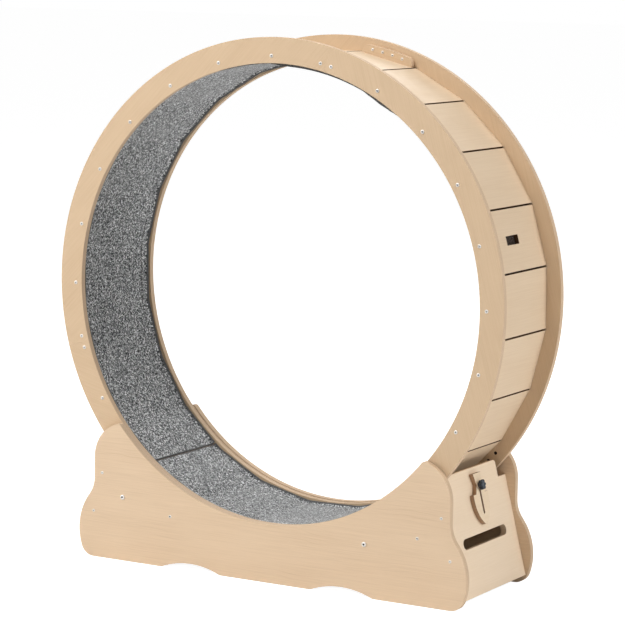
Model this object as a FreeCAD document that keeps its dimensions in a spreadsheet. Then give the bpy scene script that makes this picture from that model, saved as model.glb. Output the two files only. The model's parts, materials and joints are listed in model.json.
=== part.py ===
import FreeCAD, Part
import math
import os

import Sketcher

# Exercise wheel for a cat: a big running wheel of plywood boards that rides on four ball
# bearing rollers inside a cradle base.  Millimetres.  The origin is on the floor under the
# middle of the wheel, +X runs along the base to the end with the lock, -Y is the front and
# +Z is up.  Angles on the wheel count from straight up towards +X.

VECTOR = FreeCAD.Vector
AXLE = VECTOR(0, 1, 0)
UPRIGHT = VECTOR(0, 0, 1)
ALONG_AXLE = FreeCAD.Rotation(VECTOR(1, 0, 0), -90)

DIMENSIONS = {
    # The running wheel
    "wheel_radius": 500.0,
    "ring_depth": 50.0,
    "wheel_width": 260.0,
    "board": 12.0,
    "ring_segments": 3,
    "ring_joint_gap": 0.4,
    "wheel_turn": 14.0,
    "floor_gap": 65.0,
    # The slats and the carpet that lines them
    "slat_count": 24,
    "slat_inset": 31.3,
    "slat_thickness": 9.0,
    "slat_gap": 3.4,
    "carpet_thickness": 4.0,
    "carpet_margin": 3.0,
    "carpet_seam": 1.0,
    "carpet_seam_turn": 206.8,
    # The plates that splice the ring segments
    "splice_inset": 12.0,
    "splice_half_length": 57.0,
    "splice_corner": 12.0,
    "splice_screw_inset": 20.0,
    "splice_screw_near": 1.37,
    "splice_screw_far": 4.1,
    # Wood screws
    "screw_radius": 2.0,
    "screw_head_radius": 4.0,
    "screw_head_height": 1.6,
    "slat_screw_length": 32.0,
    "splice_head_radius": 3.2,
    "splice_head_height": 1.0,
    "splice_screw_length": 20.0,
    "end_screw_length": 34.0,
    "joint_screw_turn": 1.48,
    "screw_slack": 0.2,
    "pilot_slack": 0.05,
    # The side panels of the base
    "side_gap": 3.0,
    "cradle_lip": 2.0,
    "tip_radius": 8.0,
    "lobe_radius": 75.0,
    "lobe_height": 207.0,
    "neck_inset": 27.7,
    "waist_radius": 60.0,
    "bulge_radius": 115.0,
    "bulge_outset": 9.8,
    "bulge_height": 57.0,
    "corner_radius": 30.0,
    "arch_inner": 104.0,
    "arch_outer": 242.0,
    "arch_radius": 177.0,
    # The two end panels, which lean outward at the foot
    "end_tilt": 14.37,
    "panel_gap": 14.0,
    "end_lift": 18.0,
    "end_height": 239.0,
    "tab_height": 36.0,
    "tab_margin": 5.0,
    "tab_corner": 8.0,
    "handle_height": 101.0,
    "handle_margin": 10.0,
    "handle_radius": 10.3,
    "end_screw_low": 81.0,
    "end_screw_high": 164.0,
    "parking_hole_reach": 41.0,
    "parking_hole_height": 181.0,
    "parking_hole_radius": 1.5,
    # Rollers, axles and tie rods
    "axle_reach": 222.3,
    "roller_radius": 11.0,
    "roller_gap": 0.2,
    "roller_width": 14.0,
    "race_bore_radius": 8.8,
    "race_slack": 0.06,
    "rod_radius": 4.0,
    "rod_seat": 4.0,
    "rod_slack": 0.05,
    "tie_inset": 96.7,
    "tie_height": 130.5,
    "collar_radius": 6.5,
    "collar_length": 6.0,
    "bolt_radius": 2.5,
    "bolt_grip": 10.0,
    "bolt_end_gap": 1.0,
    "dome_radius": 4.8,
    "dome_height": 2.6,
    "flat_head_radius": 3.0,
    "flat_head_height": 1.2,
    # The lock: a sliding plate clamped by a star knob
    "lock_hole_length": 50.0,
    "lock_hole_width": 17.5,
    "lock_slat": 5,
    "lock_length": 100.0,
    "lock_thickness": 9.0,
    "lock_top_half": 16.6,
    "lock_waist_half": 9.6,
    "lock_waist_height": 77.0,
    "lock_ledge_inner": 18.0,
    "lock_ledge_outer": 29.3,
    "lock_ledge_height": 60.5,
    "lock_belly_half": 26.6,
    "lock_belly_height": 30.0,
    "lock_tip_half": 3.5,
    "lock_slot_radius": 3.0,
    "lock_slot_top": 79.0,
    "lock_slot_bottom": 20.0,
    "lock_slide_gap": 0.2,
    "lock_screw_radius": 2.0,
    "lock_screw_drop": 37.0,
    "lock_screw_head": 5.0,
    "lock_screw_head_height": 2.0,
    "knob_radius": 10.2,
    "knob_height": 8.0,
    "knob_boss_radius": 5.5,
    "knob_boss_height": 3.0,
    "knob_lobes": 6,
    "knob_scallop_radius": 3.2,
    "knob_scallop_circle": 11.8,
    "knob_bore_slack": 0.05,
    "knob_bore_depth": 7.5,
    "knob_bore_end_gap": 0.5,
    "knob_gap": 0.3,
}

# Sizes that follow from those: what belongs together keeps its named clearance
DERIVED = {
    "axle_height": "wheel_radius + floor_gap",
    "ring_inner_radius": "wheel_radius - ring_depth",
    "slat_reach": "wheel_radius - slat_inset",
    "splice_radius": "wheel_radius - splice_inset",
    "splice_screw_circle": "wheel_radius - splice_screw_inset",
    "carpet_width": "wheel_width - 2 * board - 2 * carpet_margin",
    "base_depth": "wheel_width + 2 * board + 2 * side_gap",
    "cradle_radius": "ring_inner_radius - cradle_lip",
    # The inner top edge of an end panel's tab stands off the slats by the panel gap
    "tab_edge_height": "end_lift + end_height * cos(end_tilt) - board * sin(end_tilt)",
    "tab_edge_reach": "sqrt((slat_reach + panel_gap)^2 - (axle_height - tab_edge_height)^2)",
    "end_foot_reach": "tab_edge_reach + end_height * sin(end_tilt) + board * cos(end_tilt)",
    "end_shoulder": "end_height - tab_height",
    "tab_half_width": "wheel_width / 2 - 2 * board - tab_margin",
    "handle_half_length": "tab_half_width - handle_margin",
    # The side panels and the tie rods keep their distance from the end panels
    "neck_half_width": "end_foot_reach - neck_inset",
    "bulge_half_width": "end_foot_reach + bulge_outset",
    "tie_reach": "end_foot_reach - tie_inset",
    # The clamp screw sits at the top of the lock plate's slot while the plate is down
    "lock_screw_height": "end_height - lock_screw_drop",
    "lock_foot": "lock_screw_height - lock_slot_top + lock_slot_radius",
}
SIZES = {**DIMENSIONS, **DERIVED}

# Formulas of those names that several pieces share
SLAT_SCREW_CIRCLE = "(slat_reach - slat_thickness / 2)"
SLAT_WIDTH = "(2 * slat_reach * tan(180 / slat_count) - slat_gap)"
SLAT_LENGTH = "(wheel_width - 2 * board)"
SLAT_TURN = "(360 / slat_count)"
HALF_SPAN = "(180 / ring_segments)"
RING_SHIFT = "((wheel_width - board) / 2)"
SPLICE_TURNS = ("-splice_screw_far", "-splice_screw_near", "splice_screw_near", "splice_screw_far")
ROLLER_CIRCLE = "(wheel_radius + roller_radius + roller_gap)"
AXLE_DROP = f"sqrt({ROLLER_CIRCLE}^2 - axle_reach^2)"
BOARD_EDGE = "(base_depth / 2 - board)"
LOCK_STACK = "(lock_slide_gap + lock_thickness + knob_gap)"

DOC = FreeCAD.newDocument("exercise_wheel")
DIMS = DOC.addObject("Spreadsheet::Sheet", "dims")
for row, (alias, entry) in enumerate(SIZES.items(), start=1):
    DIMS.set(f"A{row}", alias)
    DIMS.set(f"B{row}", f"={entry}")
    DIMS.setAlias(f"B{row}", alias)
DOC.recompute()

PIECES = []


# ---------------------------------------------------------------- tools of the drawing board

def size(formula):
    """Return the value of a formula whose names are those of the sheet."""
    return float(DIMS.evalExpression(formula))


def keep(piece, label):
    """Name a finished sub-part and list it for export."""
    piece.Label = label
    PIECES.append(piece)
    return piece


def new_body(label):
    """Start a sub-part that is drawn and padded."""
    body = DOC.addObject("PartDesign::Body", label)
    body.AllowCompound = False
    return body


def origin_item(body, role):
    """Find one of the planes or axes of a body's origin."""
    return next(item for item in body.Origin.OriginFeatures if item.Role == role)


def new_sketch(body, role, name, lift="0"):
    """Attach a sketch to one of the body's own planes, moved along the plane's normal."""
    sketch = body.newObject("Sketcher::SketchObject", name)
    sketch.AttachmentSupport = [(origin_item(body, role), "")]
    sketch.MapMode = "FlatFace"
    sketch.setExpression("AttachmentOffset.Base.z", named(lift))
    return sketch


def named(formula):
    """Spell a formula's names as the sheet's own, for use outside the sheet."""
    words = []
    word = ""
    for letter in formula + " ":
        if letter.isalnum() or letter == "_":
            word += letter
            continue
        words.append("dims." + word if word in SIZES else word)
        words.append(letter)
        word = ""
    return "".join(words).strip()


def bind(sketch, kind, places, formula):
    """Add a constraint whose value follows a formula of the sheet."""
    index = sketch.addConstraint(Sketcher.Constraint(kind, *places, size(formula)))
    sketch.setExpression(f"Constraints[{index}]", named(formula))


def place_point(sketch, item, end, across, up):
    """Fix one end of a line or arc at two distances from the sketch's origin."""
    bind(sketch, "DistanceX", (-1, 1, item, end), across)
    bind(sketch, "DistanceY", (-1, 1, item, end), up)


def line(sketch, start, end):
    """Draw a straight line."""
    return sketch.addGeometry(Part.LineSegment(VECTOR(*start, 0), VECTOR(*end, 0)), False)


def arc(sketch, centre, start, end, clockwise=False):
    """Draw an arc about a centre; return its number and the ends that start and finish it."""
    first, last = (end, start) if clockwise else (start, end)
    radius = math.dist(centre, start)
    angles = [math.atan2(p[1] - centre[1], p[0] - centre[0]) for p in (first, last)]
    circle = Part.Circle(VECTOR(*centre, 0), UPRIGHT, radius)
    item = sketch.addGeometry(Part.ArcOfCircle(circle, angles[0], angles[1]), False)
    return (item, 2, 1) if clockwise else (item, 1, 2)


def corner(sketch, first, second, smooth=False):
    """Join the end of one edge to the start of the next; an edge is (item, start, end)."""
    kind = "Tangent" if smooth else "Coincident"
    sketch.addConstraint(Sketcher.Constraint(kind, first[0], first[2], second[0], second[1]))


def close(sketch, loop, smooth=()):
    """Join every edge to the next, tangent where the list of edges' numbers says so."""
    for number, edge in enumerate(loop):
        corner(sketch, edge, loop[(number + 1) % len(loop)], number in smooth)


def rectangle(sketch, width, low, high):
    """Draw a rectangle on the sketch's upright axis, from one level to another."""
    half, bottom, top = size(f"{width} / 2"), size(low), size(high)
    spots = [(-half, bottom), (half, bottom), (half, top), (-half, top)]
    loop = [straight(line(sketch, a, b)) for a, b in zip(spots, spots[1:] + spots[:1])]
    close(sketch, loop)
    for edge, kind in zip(loop, ("Horizontal", "Vertical", "Horizontal", "Vertical")):
        sketch.addConstraint(Sketcher.Constraint(kind, edge[0]))
    place_point(sketch, loop[0][0], 1, f"-1 * {width} / 2", low)
    place_point(sketch, loop[2][0], 1, f"{width} / 2", high)


def polar(radius, turn):
    """Formulas for the place at a radius and an angle from a sketch's upright axis."""
    return (f"{radius} * sin({turn})", f"{radius} * cos({turn})")


def straight(item):
    """Describe a line as an edge that is walked from its first point to its second."""
    return (item, 1, 2)


def pad(body, sketch, length, side="Symmetric", reverse=False):
    """Give a sketch its thickness."""
    feature = body.newObject("PartDesign::Pad", sketch.Name + "_pad")
    feature.Profile = sketch
    feature.SideType = side
    feature.Reversed = reverse
    feature.setExpression("Length", named(length))
    DOC.recompute()
    return feature


def mirror(body, half):
    """Add the other half of a body, across its own upright middle plane."""
    both = body.newObject("PartDesign::Mirrored", half.Name + "_both")
    both.Originals = [half]
    both.MirrorPlane = (origin_item(body, "YZ_Plane"), [""])
    body.Tip = both
    DOC.recompute()


def pocket(body, sketch, depth=None, reverse=False):
    """Cut a sketch out of the body, right through or to a depth."""
    feature = body.newObject("PartDesign::Pocket", sketch.Name + "_pocket")
    feature.Profile = sketch
    before = body.Shape.Volume
    if depth is None:
        feature.Type = "ThroughAll"
        feature.SideType = "Symmetric"
    else:
        feature.Reversed = reverse
        feature.setExpression("Length", named(depth))
    DOC.recompute()
    if not feature.Shape.Volume < before:
        raise RuntimeError(f"{feature.Name} cuts nothing")
    return feature


def drill(body, role, name, places, radius, lift="0", depth=None, reverse=False):
    """Drill round holes at the given places of one plane."""
    sketch = new_sketch(body, role, name, lift)
    for across, up in places:
        centre = VECTOR(size(across), size(up), 0)
        item = sketch.addGeometry(Part.Circle(centre, UPRIGHT, size(radius)), False)
        place_point(sketch, item, 3, across, up)
        bind(sketch, "Radius", (item,), radius)
    return pocket(body, sketch, depth, reverse)


def crossing(centre_a, radius_a, centre_b, radius_b, side):
    """Return where two circles cross, on the left (1) or right (-1) of the way from a to b."""
    apart = math.dist(centre_a, centre_b)
    along = (radius_a**2 - radius_b**2 + apart**2) / (2 * apart)
    off = math.sqrt(radius_a**2 - along**2) * side
    way = [(b - a) / apart for a, b in zip(centre_a, centre_b)]
    return (centre_a[0] + along * way[0] - off * way[1],
            centre_a[1] + along * way[1] + off * way[0])


def beyond(centre, through, radius):
    """Return the point at a radius from a centre, on the ray through another point."""
    apart = math.dist(centre, through)
    return tuple(c + (p - c) * radius / apart for c, p in zip(centre, through))


def stand(piece, angle="0", shift="0"):
    """Hang a piece of the wheel on the wheel's axis, turned about it and shifted along it."""
    turn = FreeCAD.Rotation(AXLE, size(angle))
    piece.Placement = FreeCAD.Placement(VECTOR(0, size(shift), size("axle_height")), turn)
    piece.setExpression("Placement.Base.y", named(shift))
    piece.setExpression("Placement.Base.z", "dims.axle_height")


def group(label, solids):
    """Keep identical fasteners together as one sub-part of separate solids."""
    feature = DOC.addObject("Part::Feature", label)
    feature.Shape = Part.makeCompound(solids)
    return keep(feature, label)


# ----------------------------------------------------------------------------- the wheel

def ring_segment(label, index, side):
    """A third of a side ring, with its screw holes; side is -1 at the front, 1 at the rear."""
    body = new_body(label)
    sketch = new_sketch(body, "XZ_Plane", label + "_outline")
    reach, rise = {}, {}
    for radius in ("wheel_radius", "ring_inner_radius"):
        reach[radius] = f"({radius} * sin{HALF_SPAN} - ring_joint_gap / 2 * cos{HALF_SPAN})"
        rise[radius] = math.sqrt(size(radius)**2 - size(reach[radius])**2)
    (outer_x, inner_x), (outer_y, inner_y) = map(size, reach.values()), rise.values()
    loop = [
        arc(sketch, (0, 0), (outer_x, outer_y), (-outer_x, outer_y)),
        straight(line(sketch, (-outer_x, outer_y), (-inner_x, inner_y))),
        arc(sketch, (0, 0), (-inner_x, inner_y), (inner_x, inner_y), True),
        straight(line(sketch, (inner_x, inner_y), (outer_x, outer_y))),
    ]
    close(sketch, loop)
    for edge, radius in ((loop[0], "wheel_radius"), (loop[2], "ring_inner_radius")):
        sketch.addConstraint(Sketcher.Constraint("Coincident", edge[0], 3, -1, 1))
        bind(sketch, "Radius", (edge[0],), radius)
        bind(sketch, "DistanceX", (-1, 1, edge[0], 1), reach[radius])
        bind(sketch, "DistanceX", (-1, 1, edge[0], 2), f"-{reach[radius]}")
    pad(body, sketch, "board")

    turns = [f"{step} * {SLAT_TURN} - {HALF_SPAN}" for step in range(1, slats_per_segment())]
    for sign in ("-", ""):
        turns.append(f"{sign}1 * ({HALF_SPAN} - joint_screw_turn)")
    places = [polar(SLAT_SCREW_CIRCLE, turn) for turn in turns]
    drill(body, "XZ_Plane", label + "_slat_holes", places, "screw_radius + screw_slack")
    places = []
    for sign in ("-", ""):
        for offset in ("splice_screw_near", "splice_screw_far"):
            places.append(polar("splice_screw_circle", f"{sign}1 * ({HALF_SPAN} - {offset})"))
    drill(body, "XZ_Plane", label + "_splice_holes", places, "screw_radius + pilot_slack",
          f"{side} * board / 2", "splice_screw_length - board", side < 0)

    stand(body, f"wheel_turn + {index + 0.5} * 2 * {HALF_SPAN}", f"{side} * {RING_SHIFT}")
    return keep(body, label)


def slats_per_segment():
    """How many slats one ring segment spans; a joint falls on the middle of a slat."""
    return round(size("slat_count / ring_segments"))


def slat(index):
    """One cross board of the running surface, with pilot holes in both ends."""
    label = f"slat_{index:02d}"
    body = new_body(label)
    sketch = new_sketch(body, "XZ_Plane", label + "_section")
    rectangle(sketch, SLAT_WIDTH, "slat_reach - slat_thickness", "slat_reach")
    pad(body, sketch, SLAT_LENGTH)
    turns = ["-joint_screw_turn", "joint_screw_turn"] if at_joint(index) else ["0"]
    places = [polar(SLAT_SCREW_CIRCLE, turn) for turn in turns]
    for name, sign in (("front", ""), ("rear", "-")):
        drill(body, "XZ_Plane", f"{label}_{name}_pilot", places, "screw_radius + pilot_slack",
              f"{sign}{SLAT_LENGTH} / 2", "slat_screw_length - board", sign == "-")
    if index == round(size("lock_slat")):
        hole = new_sketch(body, "XY_Plane", label + "_lock_hole", "slat_reach")
        rectangle(hole, "lock_hole_width", "-lock_hole_length / 2", "lock_hole_length / 2")
        pocket(body, hole, "slat_thickness")
    stand(body, f"wheel_turn + {index - 1} * {SLAT_TURN}")
    return keep(body, label)


def at_joint(index):
    """Whether the ring segments meet on a slat; the first slat is one of those."""
    return (index - 1) % slats_per_segment() == 0


def carpet():
    """The carpet strip that lines the slats, open at its seam."""
    backing = "slat_reach - slat_thickness"
    prisms = []
    for name, reach, width in (("carpet_back", f"({backing})", "carpet_width"),
                               ("carpet_face", f"({backing} - carpet_thickness)", "wheel_width")):
        prism = DOC.addObject("Part::Prism", name)
        prism.setExpression("Polygon", "dims.slat_count")
        prism.setExpression("Circumradius", named(f"{reach} / cos(180 / slat_count)"))
        prism.setExpression("Height", named(width))
        prism.Placement = FreeCAD.Placement(VECTOR(0, -size(width) / 2, 0), ALONG_AXLE)
        prisms.append(prism)
    lining = DOC.addObject("Part::Cut", "carpet_lining")
    lining.Base, lining.Tool = prisms
    seam = DOC.addObject("Part::Box", "carpet_seam_cut")
    seam.setExpression("Length", "dims.carpet_seam")
    seam.setExpression("Width", "dims.wheel_width")
    seam.setExpression("Height", "dims.wheel_radius")
    half_pitch = size("180 / slat_count")
    turn = FreeCAD.Rotation(AXLE, size("carpet_seam_turn") - half_pitch)
    corner_point = VECTOR(-size("carpet_seam / 2"), -size("wheel_width / 2"), 0)
    seam.Placement = FreeCAD.Placement(turn.multVec(corner_point), turn)
    strip = DOC.addObject("Part::Cut", "carpet")
    strip.Base = lining
    strip.Tool = seam
    stand(strip, "wheel_turn + 180 / slat_count")
    DOC.recompute()
    return keep(strip, "carpet")


def splice_plate(label, side):
    """The plate that laps a ring joint, standing on the slat between the ring and the gap."""
    body = new_body(label)
    sketch = new_sketch(body, "XZ_Plane", label + "_outline")
    half, low, round_off = size("splice_half_length"), size("slat_reach"), size("splice_corner")
    rim = size("splice_radius")
    centre_height = math.sqrt((rim - round_off)**2 - (half - round_off)**2)
    centre = (half - round_off, centre_height)
    shoulder = beyond((0, 0), centre, rim)
    mirrored = [(-x, y) for x, y in (centre, shoulder)]
    floor = line(sketch, (-half, low), (half, low))
    right = line(sketch, (half, low), (half, centre_height))
    right_round = arc(sketch, centre, (half, centre_height), shoulder)
    crown = arc(sketch, (0, 0), shoulder, mirrored[1])
    left_round = arc(sketch, mirrored[0], mirrored[1], (-half, centre_height))
    left = line(sketch, (-half, centre_height), (-half, low))
    loop = [straight(floor), straight(right), right_round, crown, left_round, straight(left)]
    close(sketch, loop, (1, 2, 3, 4))
    sketch.addConstraint(Sketcher.Constraint("Coincident", crown[0], 3, -1, 1))
    sketch.addConstraint(Sketcher.Constraint("Horizontal", floor))
    sketch.addConstraint(Sketcher.Constraint("Vertical", right))
    sketch.addConstraint(Sketcher.Constraint("Vertical", left))
    bind(sketch, "Radius", (crown[0],), "splice_radius")
    bind(sketch, "Radius", (right_round[0],), "splice_corner")
    bind(sketch, "Radius", (left_round[0],), "splice_corner")
    place_point(sketch, floor, 1, "-splice_half_length", "slat_reach")
    bind(sketch, "DistanceX", (-1, 1, floor, 2), "splice_half_length")
    pad(body, sketch, "board")
    drill(body, "XZ_Plane", label + "_pilot", [polar("splice_screw_circle", turn) for turn in SPLICE_TURNS],
          "screw_radius + pilot_slack")
    stand(body, "wheel_turn", f"{side} * (wheel_width / 2 - 1.5 * board)")
    return keep(body, label)


# ------------------------------------------------------------------------------ fasteners

def screw(head_radius, head_height, shank_radius, length):
    """A headed screw; its head stands on Z = 0 and its shank runs down."""
    head = Part.makeCylinder(head_radius, head_height)
    shank = Part.makeCylinder(shank_radius, length, VECTOR(0, 0, -length))
    return head.fuse(shank).removeSplitter()


def put(solid, place, direction):
    """Copy a fastener to a place, with its head towards a direction."""
    copy = solid.copy()
    copy.Placement = FreeCAD.Placement(place, FreeCAD.Rotation(UPRIGHT, direction))
    return copy


def wheel_point(radius, turn, depth):
    """A point of the wheel at a radius and an angle from straight up."""
    angle = math.radians(size("wheel_turn") + turn)
    return VECTOR(radius * math.sin(angle), depth, size("axle_height") + radius * math.cos(angle))


def slat_screws(label, side):
    """The screws through one ring into the slats' ends, two where the ring is jointed."""
    wood_screw = screw(size("screw_head_radius"), size("screw_head_height"),
                       size("screw_radius"), size("slat_screw_length"))
    circle, face = size(SLAT_SCREW_CIRCLE), side * size("wheel_width / 2")
    swing = size("joint_screw_turn")
    solids = []
    for index in range(1, round(size("slat_count")) + 1):
        for offset in ((-swing, swing) if at_joint(index) else (0,)):
            turn = (index - 1) * size(SLAT_TURN) + offset
            solids.append(put(wood_screw, wheel_point(circle, turn, face), VECTOR(0, side, 0)))
    return group(label, solids)


def splice_screws():
    """The screws from both splice plates into the rings behind them."""
    short_screw = screw(size("splice_head_radius"), size("splice_head_height"),
                        size("screw_radius"), size("splice_screw_length"))
    solids = []
    for side in (-1, 1):
        face = side * size("wheel_width / 2 - 2 * board")
        for turn in SPLICE_TURNS:
            place = wheel_point(size("splice_screw_circle"), size(turn), face)
            solids.append(put(short_screw, place, VECTOR(0, -side, 0)))
    return group("splice_screws", solids)


# ------------------------------------------------------------------------------- the base


def panel_outline(sketch):
    """The right half of a side panel, seen from the front, about the wheel's axis."""
    floor = -size("axle_height")
    cradle, tip = size("cradle_radius"), size("tip_radius")
    neck = size("neck_half_width")
    lobe_radius, waist, bulge_radius = size("lobe_radius"), size("waist_radius"), size("bulge_radius")
    foot_radius = size("corner_radius")
    lobe = (neck - lobe_radius, floor + size("lobe_height"))
    bulge = (size("bulge_half_width") - bulge_radius, floor + size("bulge_height"))
    tip_centre = crossing((0, 0), cradle + tip, lobe, lobe_radius - tip, 1)
    tip_start, tip_end = beyond((0, 0), tip_centre, cradle), beyond(lobe, tip_centre, lobe_radius)
    waist_x = neck + waist
    waist_rise = math.sqrt((bulge_radius + waist)**2 - (waist_x - bulge[0])**2)
    waist_centre = (waist_x, bulge[1] + waist_rise)
    waist_end = beyond(bulge, waist_centre, bulge_radius)
    foot_y = floor + foot_radius
    foot_x = bulge[0] + math.sqrt((bulge_radius - foot_radius)**2 - (foot_y - bulge[1])**2)
    foot_start = beyond(bulge, (foot_x, foot_y), bulge_radius)
    arch = (size("arch_inner"), size("arch_outer"))
    arch_half = (arch[1] - arch[0]) / 2
    arch_y = floor - math.sqrt(size("arch_radius")**2 - arch_half**2)
    arch_centre = ((arch[0] + arch[1]) / 2, arch_y)

    edges = [
        arc(sketch, (0, 0), (0, -cradle), tip_start),
        arc(sketch, tip_centre, tip_start, tip_end, True),
        arc(sketch, lobe, tip_end, (neck, lobe[1]), True),
        straight(line(sketch, (neck, lobe[1]), (neck, waist_centre[1]))),
        arc(sketch, waist_centre, (neck, waist_centre[1]), waist_end),
        arc(sketch, bulge, waist_end, foot_start, True),
        arc(sketch, (foot_x, foot_y), foot_start, (foot_x, floor), True),
        straight(line(sketch, (foot_x, floor), (arch[1], floor))),
        arc(sketch, arch_centre, (arch[1], floor), (arch[0], floor)),
        straight(line(sketch, (arch[0], floor), (0, floor))),
        straight(line(sketch, (0, floor), (0, -cradle))),
    ]
    close(sketch, edges, range(7))
    radii = ("cradle_radius", "tip_radius", "lobe_radius", None, "waist_radius",
             "bulge_radius", "corner_radius", None, "arch_radius")
    for edge, radius in zip(edges, radii):
        if radius:
            bind(sketch, "Radius", (edge[0],), radius)
    sketch.addConstraint(Sketcher.Constraint("Coincident", edges[0][0], 3, -1, 1))
    sketch.addConstraint(Sketcher.Constraint("Vertical", edges[3][0]))
    sketch.addConstraint(Sketcher.Constraint("Vertical", edges[10][0]))
    sketch.addConstraint(Sketcher.Constraint("Horizontal", edges[7][0]))
    sketch.addConstraint(Sketcher.Constraint("Horizontal", edges[9][0]))
    sketch.addConstraint(Sketcher.Constraint("PointOnObject", edges[10][0], 1, -2))
    bind(sketch, "DistanceX", (-1, 1, edges[3][0], 1), "neck_half_width")
    bind(sketch, "DistanceY", (-1, 1, edges[2][0], 3), "lobe_height - axle_height")
    bind(sketch, "DistanceX", (-1, 1, edges[5][0], 3), "bulge_half_width - bulge_radius")
    bind(sketch, "DistanceY", (-1, 1, edges[5][0], 3), "bulge_height - axle_height")
    place_point(sketch, edges[7][0], 2, "arch_outer", "-axle_height")
    place_point(sketch, edges[9][0], 1, "arch_inner", "-axle_height")


def side_panel(label, side):
    """A side board of the base; the front and rear boards are the same, turned round."""
    body = new_body(label)
    sketch = new_sketch(body, "XZ_Plane", label + "_outline")
    panel_outline(sketch)
    mirror(body, pad(body, sketch, "board"))
    rods = []
    for sign in ("-", ""):
        rods.append((f"{sign}axle_reach", f"-{AXLE_DROP}"))
        rods.append((f"{sign}tie_reach", "tie_height - axle_height"))
    drill(body, "XZ_Plane", label + "_bolt_holes", rods, "bolt_radius + screw_slack")
    drill(body, "XZ_Plane", label + "_rod_seats", rods, "rod_radius + rod_slack",
          "-board / 2", "rod_seat", True)
    ends = []
    for sign in ("-", ""):
        for height in ("end_screw_low", "end_screw_high"):
            ends.append(end_screw_spot(height, sign))
    drill(body, "XZ_Plane", label + "_end_holes", ends, "screw_radius + screw_slack")
    stand(body, "0", f"{side} * ({BOARD_EDGE} + board / 2)")
    if side > 0:
        body.Placement = FreeCAD.Placement(body.Placement.Base, FreeCAD.Rotation(UPRIGHT, 180))
    return keep(body, label)


def end_screw_spot(height, sign=""):
    """The place of an end panel's edge screw, about the wheel's axis, on the board's middle."""
    reach = f"end_foot_reach - {height} * sin(end_tilt) - board / 2 * cos(end_tilt)"
    rise = f"end_lift + {height} * cos(end_tilt) - board / 2 * sin(end_tilt) - axle_height"
    return (f"{sign}1 * ({reach})", rise)


def end_frame(side):
    """The frame of an end panel: X across, Y up the board and Z out of its outer face."""
    tilt = math.radians(size("end_tilt"))
    outward = VECTOR(math.cos(tilt), 0, math.sin(tilt))
    upward = VECTOR(-math.sin(tilt), 0, math.cos(tilt))
    frame = FreeCAD.Placement(VECTOR(size("end_foot_reach"), 0, size("end_lift")),
                              FreeCAD.Rotation(AXLE, upward, outward, "ZYX"))
    about = FreeCAD.Placement(VECTOR(0, 0, 0), FreeCAD.Rotation(UPRIGHT, 0 if side > 0 else 180))
    return about.multiply(frame)


def end_panel(label, side):
    """An end board with its tab between the rings and its hand slot."""
    body = new_body(label)
    sketch = new_sketch(body, "XY_Plane", label + "_outline")
    half, tab = size(BOARD_EDGE), size("tab_half_width")
    top, shoulder, round_off = size("end_height"), size("end_shoulder"), size("tab_corner")
    spots = [(0, 0), (half, 0), (half, shoulder), (tab, shoulder), (tab, top - round_off)]
    edges = [straight(line(sketch, a, b)) for a, b in zip(spots, spots[1:])]
    centre = (tab - round_off, top - round_off)
    edges.append(arc(sketch, centre, spots[-1], (tab - round_off, top)))
    edges.append(straight(line(sketch, (tab - round_off, top), (0, top))))
    edges.append(straight(line(sketch, (0, top), (0, 0))))
    close(sketch, edges, (3, 4))
    for index in (0, 2, 5):
        sketch.addConstraint(Sketcher.Constraint("Horizontal", edges[index][0]))
    for index in (1, 3, 6):
        sketch.addConstraint(Sketcher.Constraint("Vertical", edges[index][0]))
    sketch.addConstraint(Sketcher.Constraint("Coincident", edges[0][0], 1, -1, 1))
    bind(sketch, "Radius", (edges[4][0],), "tab_corner")
    place_point(sketch, edges[1][0], 2, BOARD_EDGE, "end_shoulder")
    bind(sketch, "DistanceX", (-1, 1, edges[3][0], 1), "tab_half_width")
    bind(sketch, "DistanceY", (-1, 1, edges[6][0], 1), "end_height")
    mirror(body, pad(body, sketch, "board", "One side", True))
    long_hole(body, label + "_hand_slot", "XY_Plane", "handle_radius", "handle_half_length", "handle_height")
    for height in ("end_screw_low", "end_screw_high"):
        edge_pilots(body, f"{label}_{height}", height)
    if side > 0:
        drill(body, "XY_Plane", label + "_lock_hole", [("0", "lock_screw_height")],
              "lock_screw_radius + screw_slack")
        drill(body, "XY_Plane", label + "_parking_hole", [("parking_hole_reach", "parking_hole_height")],
              "parking_hole_radius", "0", "board / 2")
    body.Placement = end_frame(side)
    return keep(body, label)


def edge_pilots(body, name, height):
    """Pilot holes for the screws that enter both edges of an end board at one height."""
    spots = [(height, "-board / 2")]
    for end, sign in (("near", "-"), ("far", "")):
        drill(body, "YZ_Plane", f"{name}_{end}", spots, "screw_radius + pilot_slack",
              f"{sign}{BOARD_EDGE}", "end_screw_length - board", sign == "-")


def long_hole(body, name, role, radius, half_length, height):
    """A slot with round ends, lying across the board."""
    sketch = new_sketch(body, role, name)
    round_off, reach, level = size(radius), size(f"{half_length} - {radius}"), size(height)
    right = arc(sketch, (reach, level), (reach, level - round_off), (reach, level + round_off))
    top = straight(line(sketch, (reach, level + round_off), (-reach, level + round_off)))
    left = arc(sketch, (-reach, level), (-reach, level + round_off), (-reach, level - round_off))
    bottom = straight(line(sketch, (-reach, level - round_off), (reach, level - round_off)))
    close(sketch, [right, top, left, bottom], range(4))
    bind(sketch, "Radius", (right[0],), radius)
    bind(sketch, "Radius", (left[0],), radius)
    place_point(sketch, right[0], 3, f"{half_length} - {radius}", height)
    place_point(sketch, left[0], 3, f"{radius} - {half_length}", height)
    pocket(body, sketch)


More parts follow.
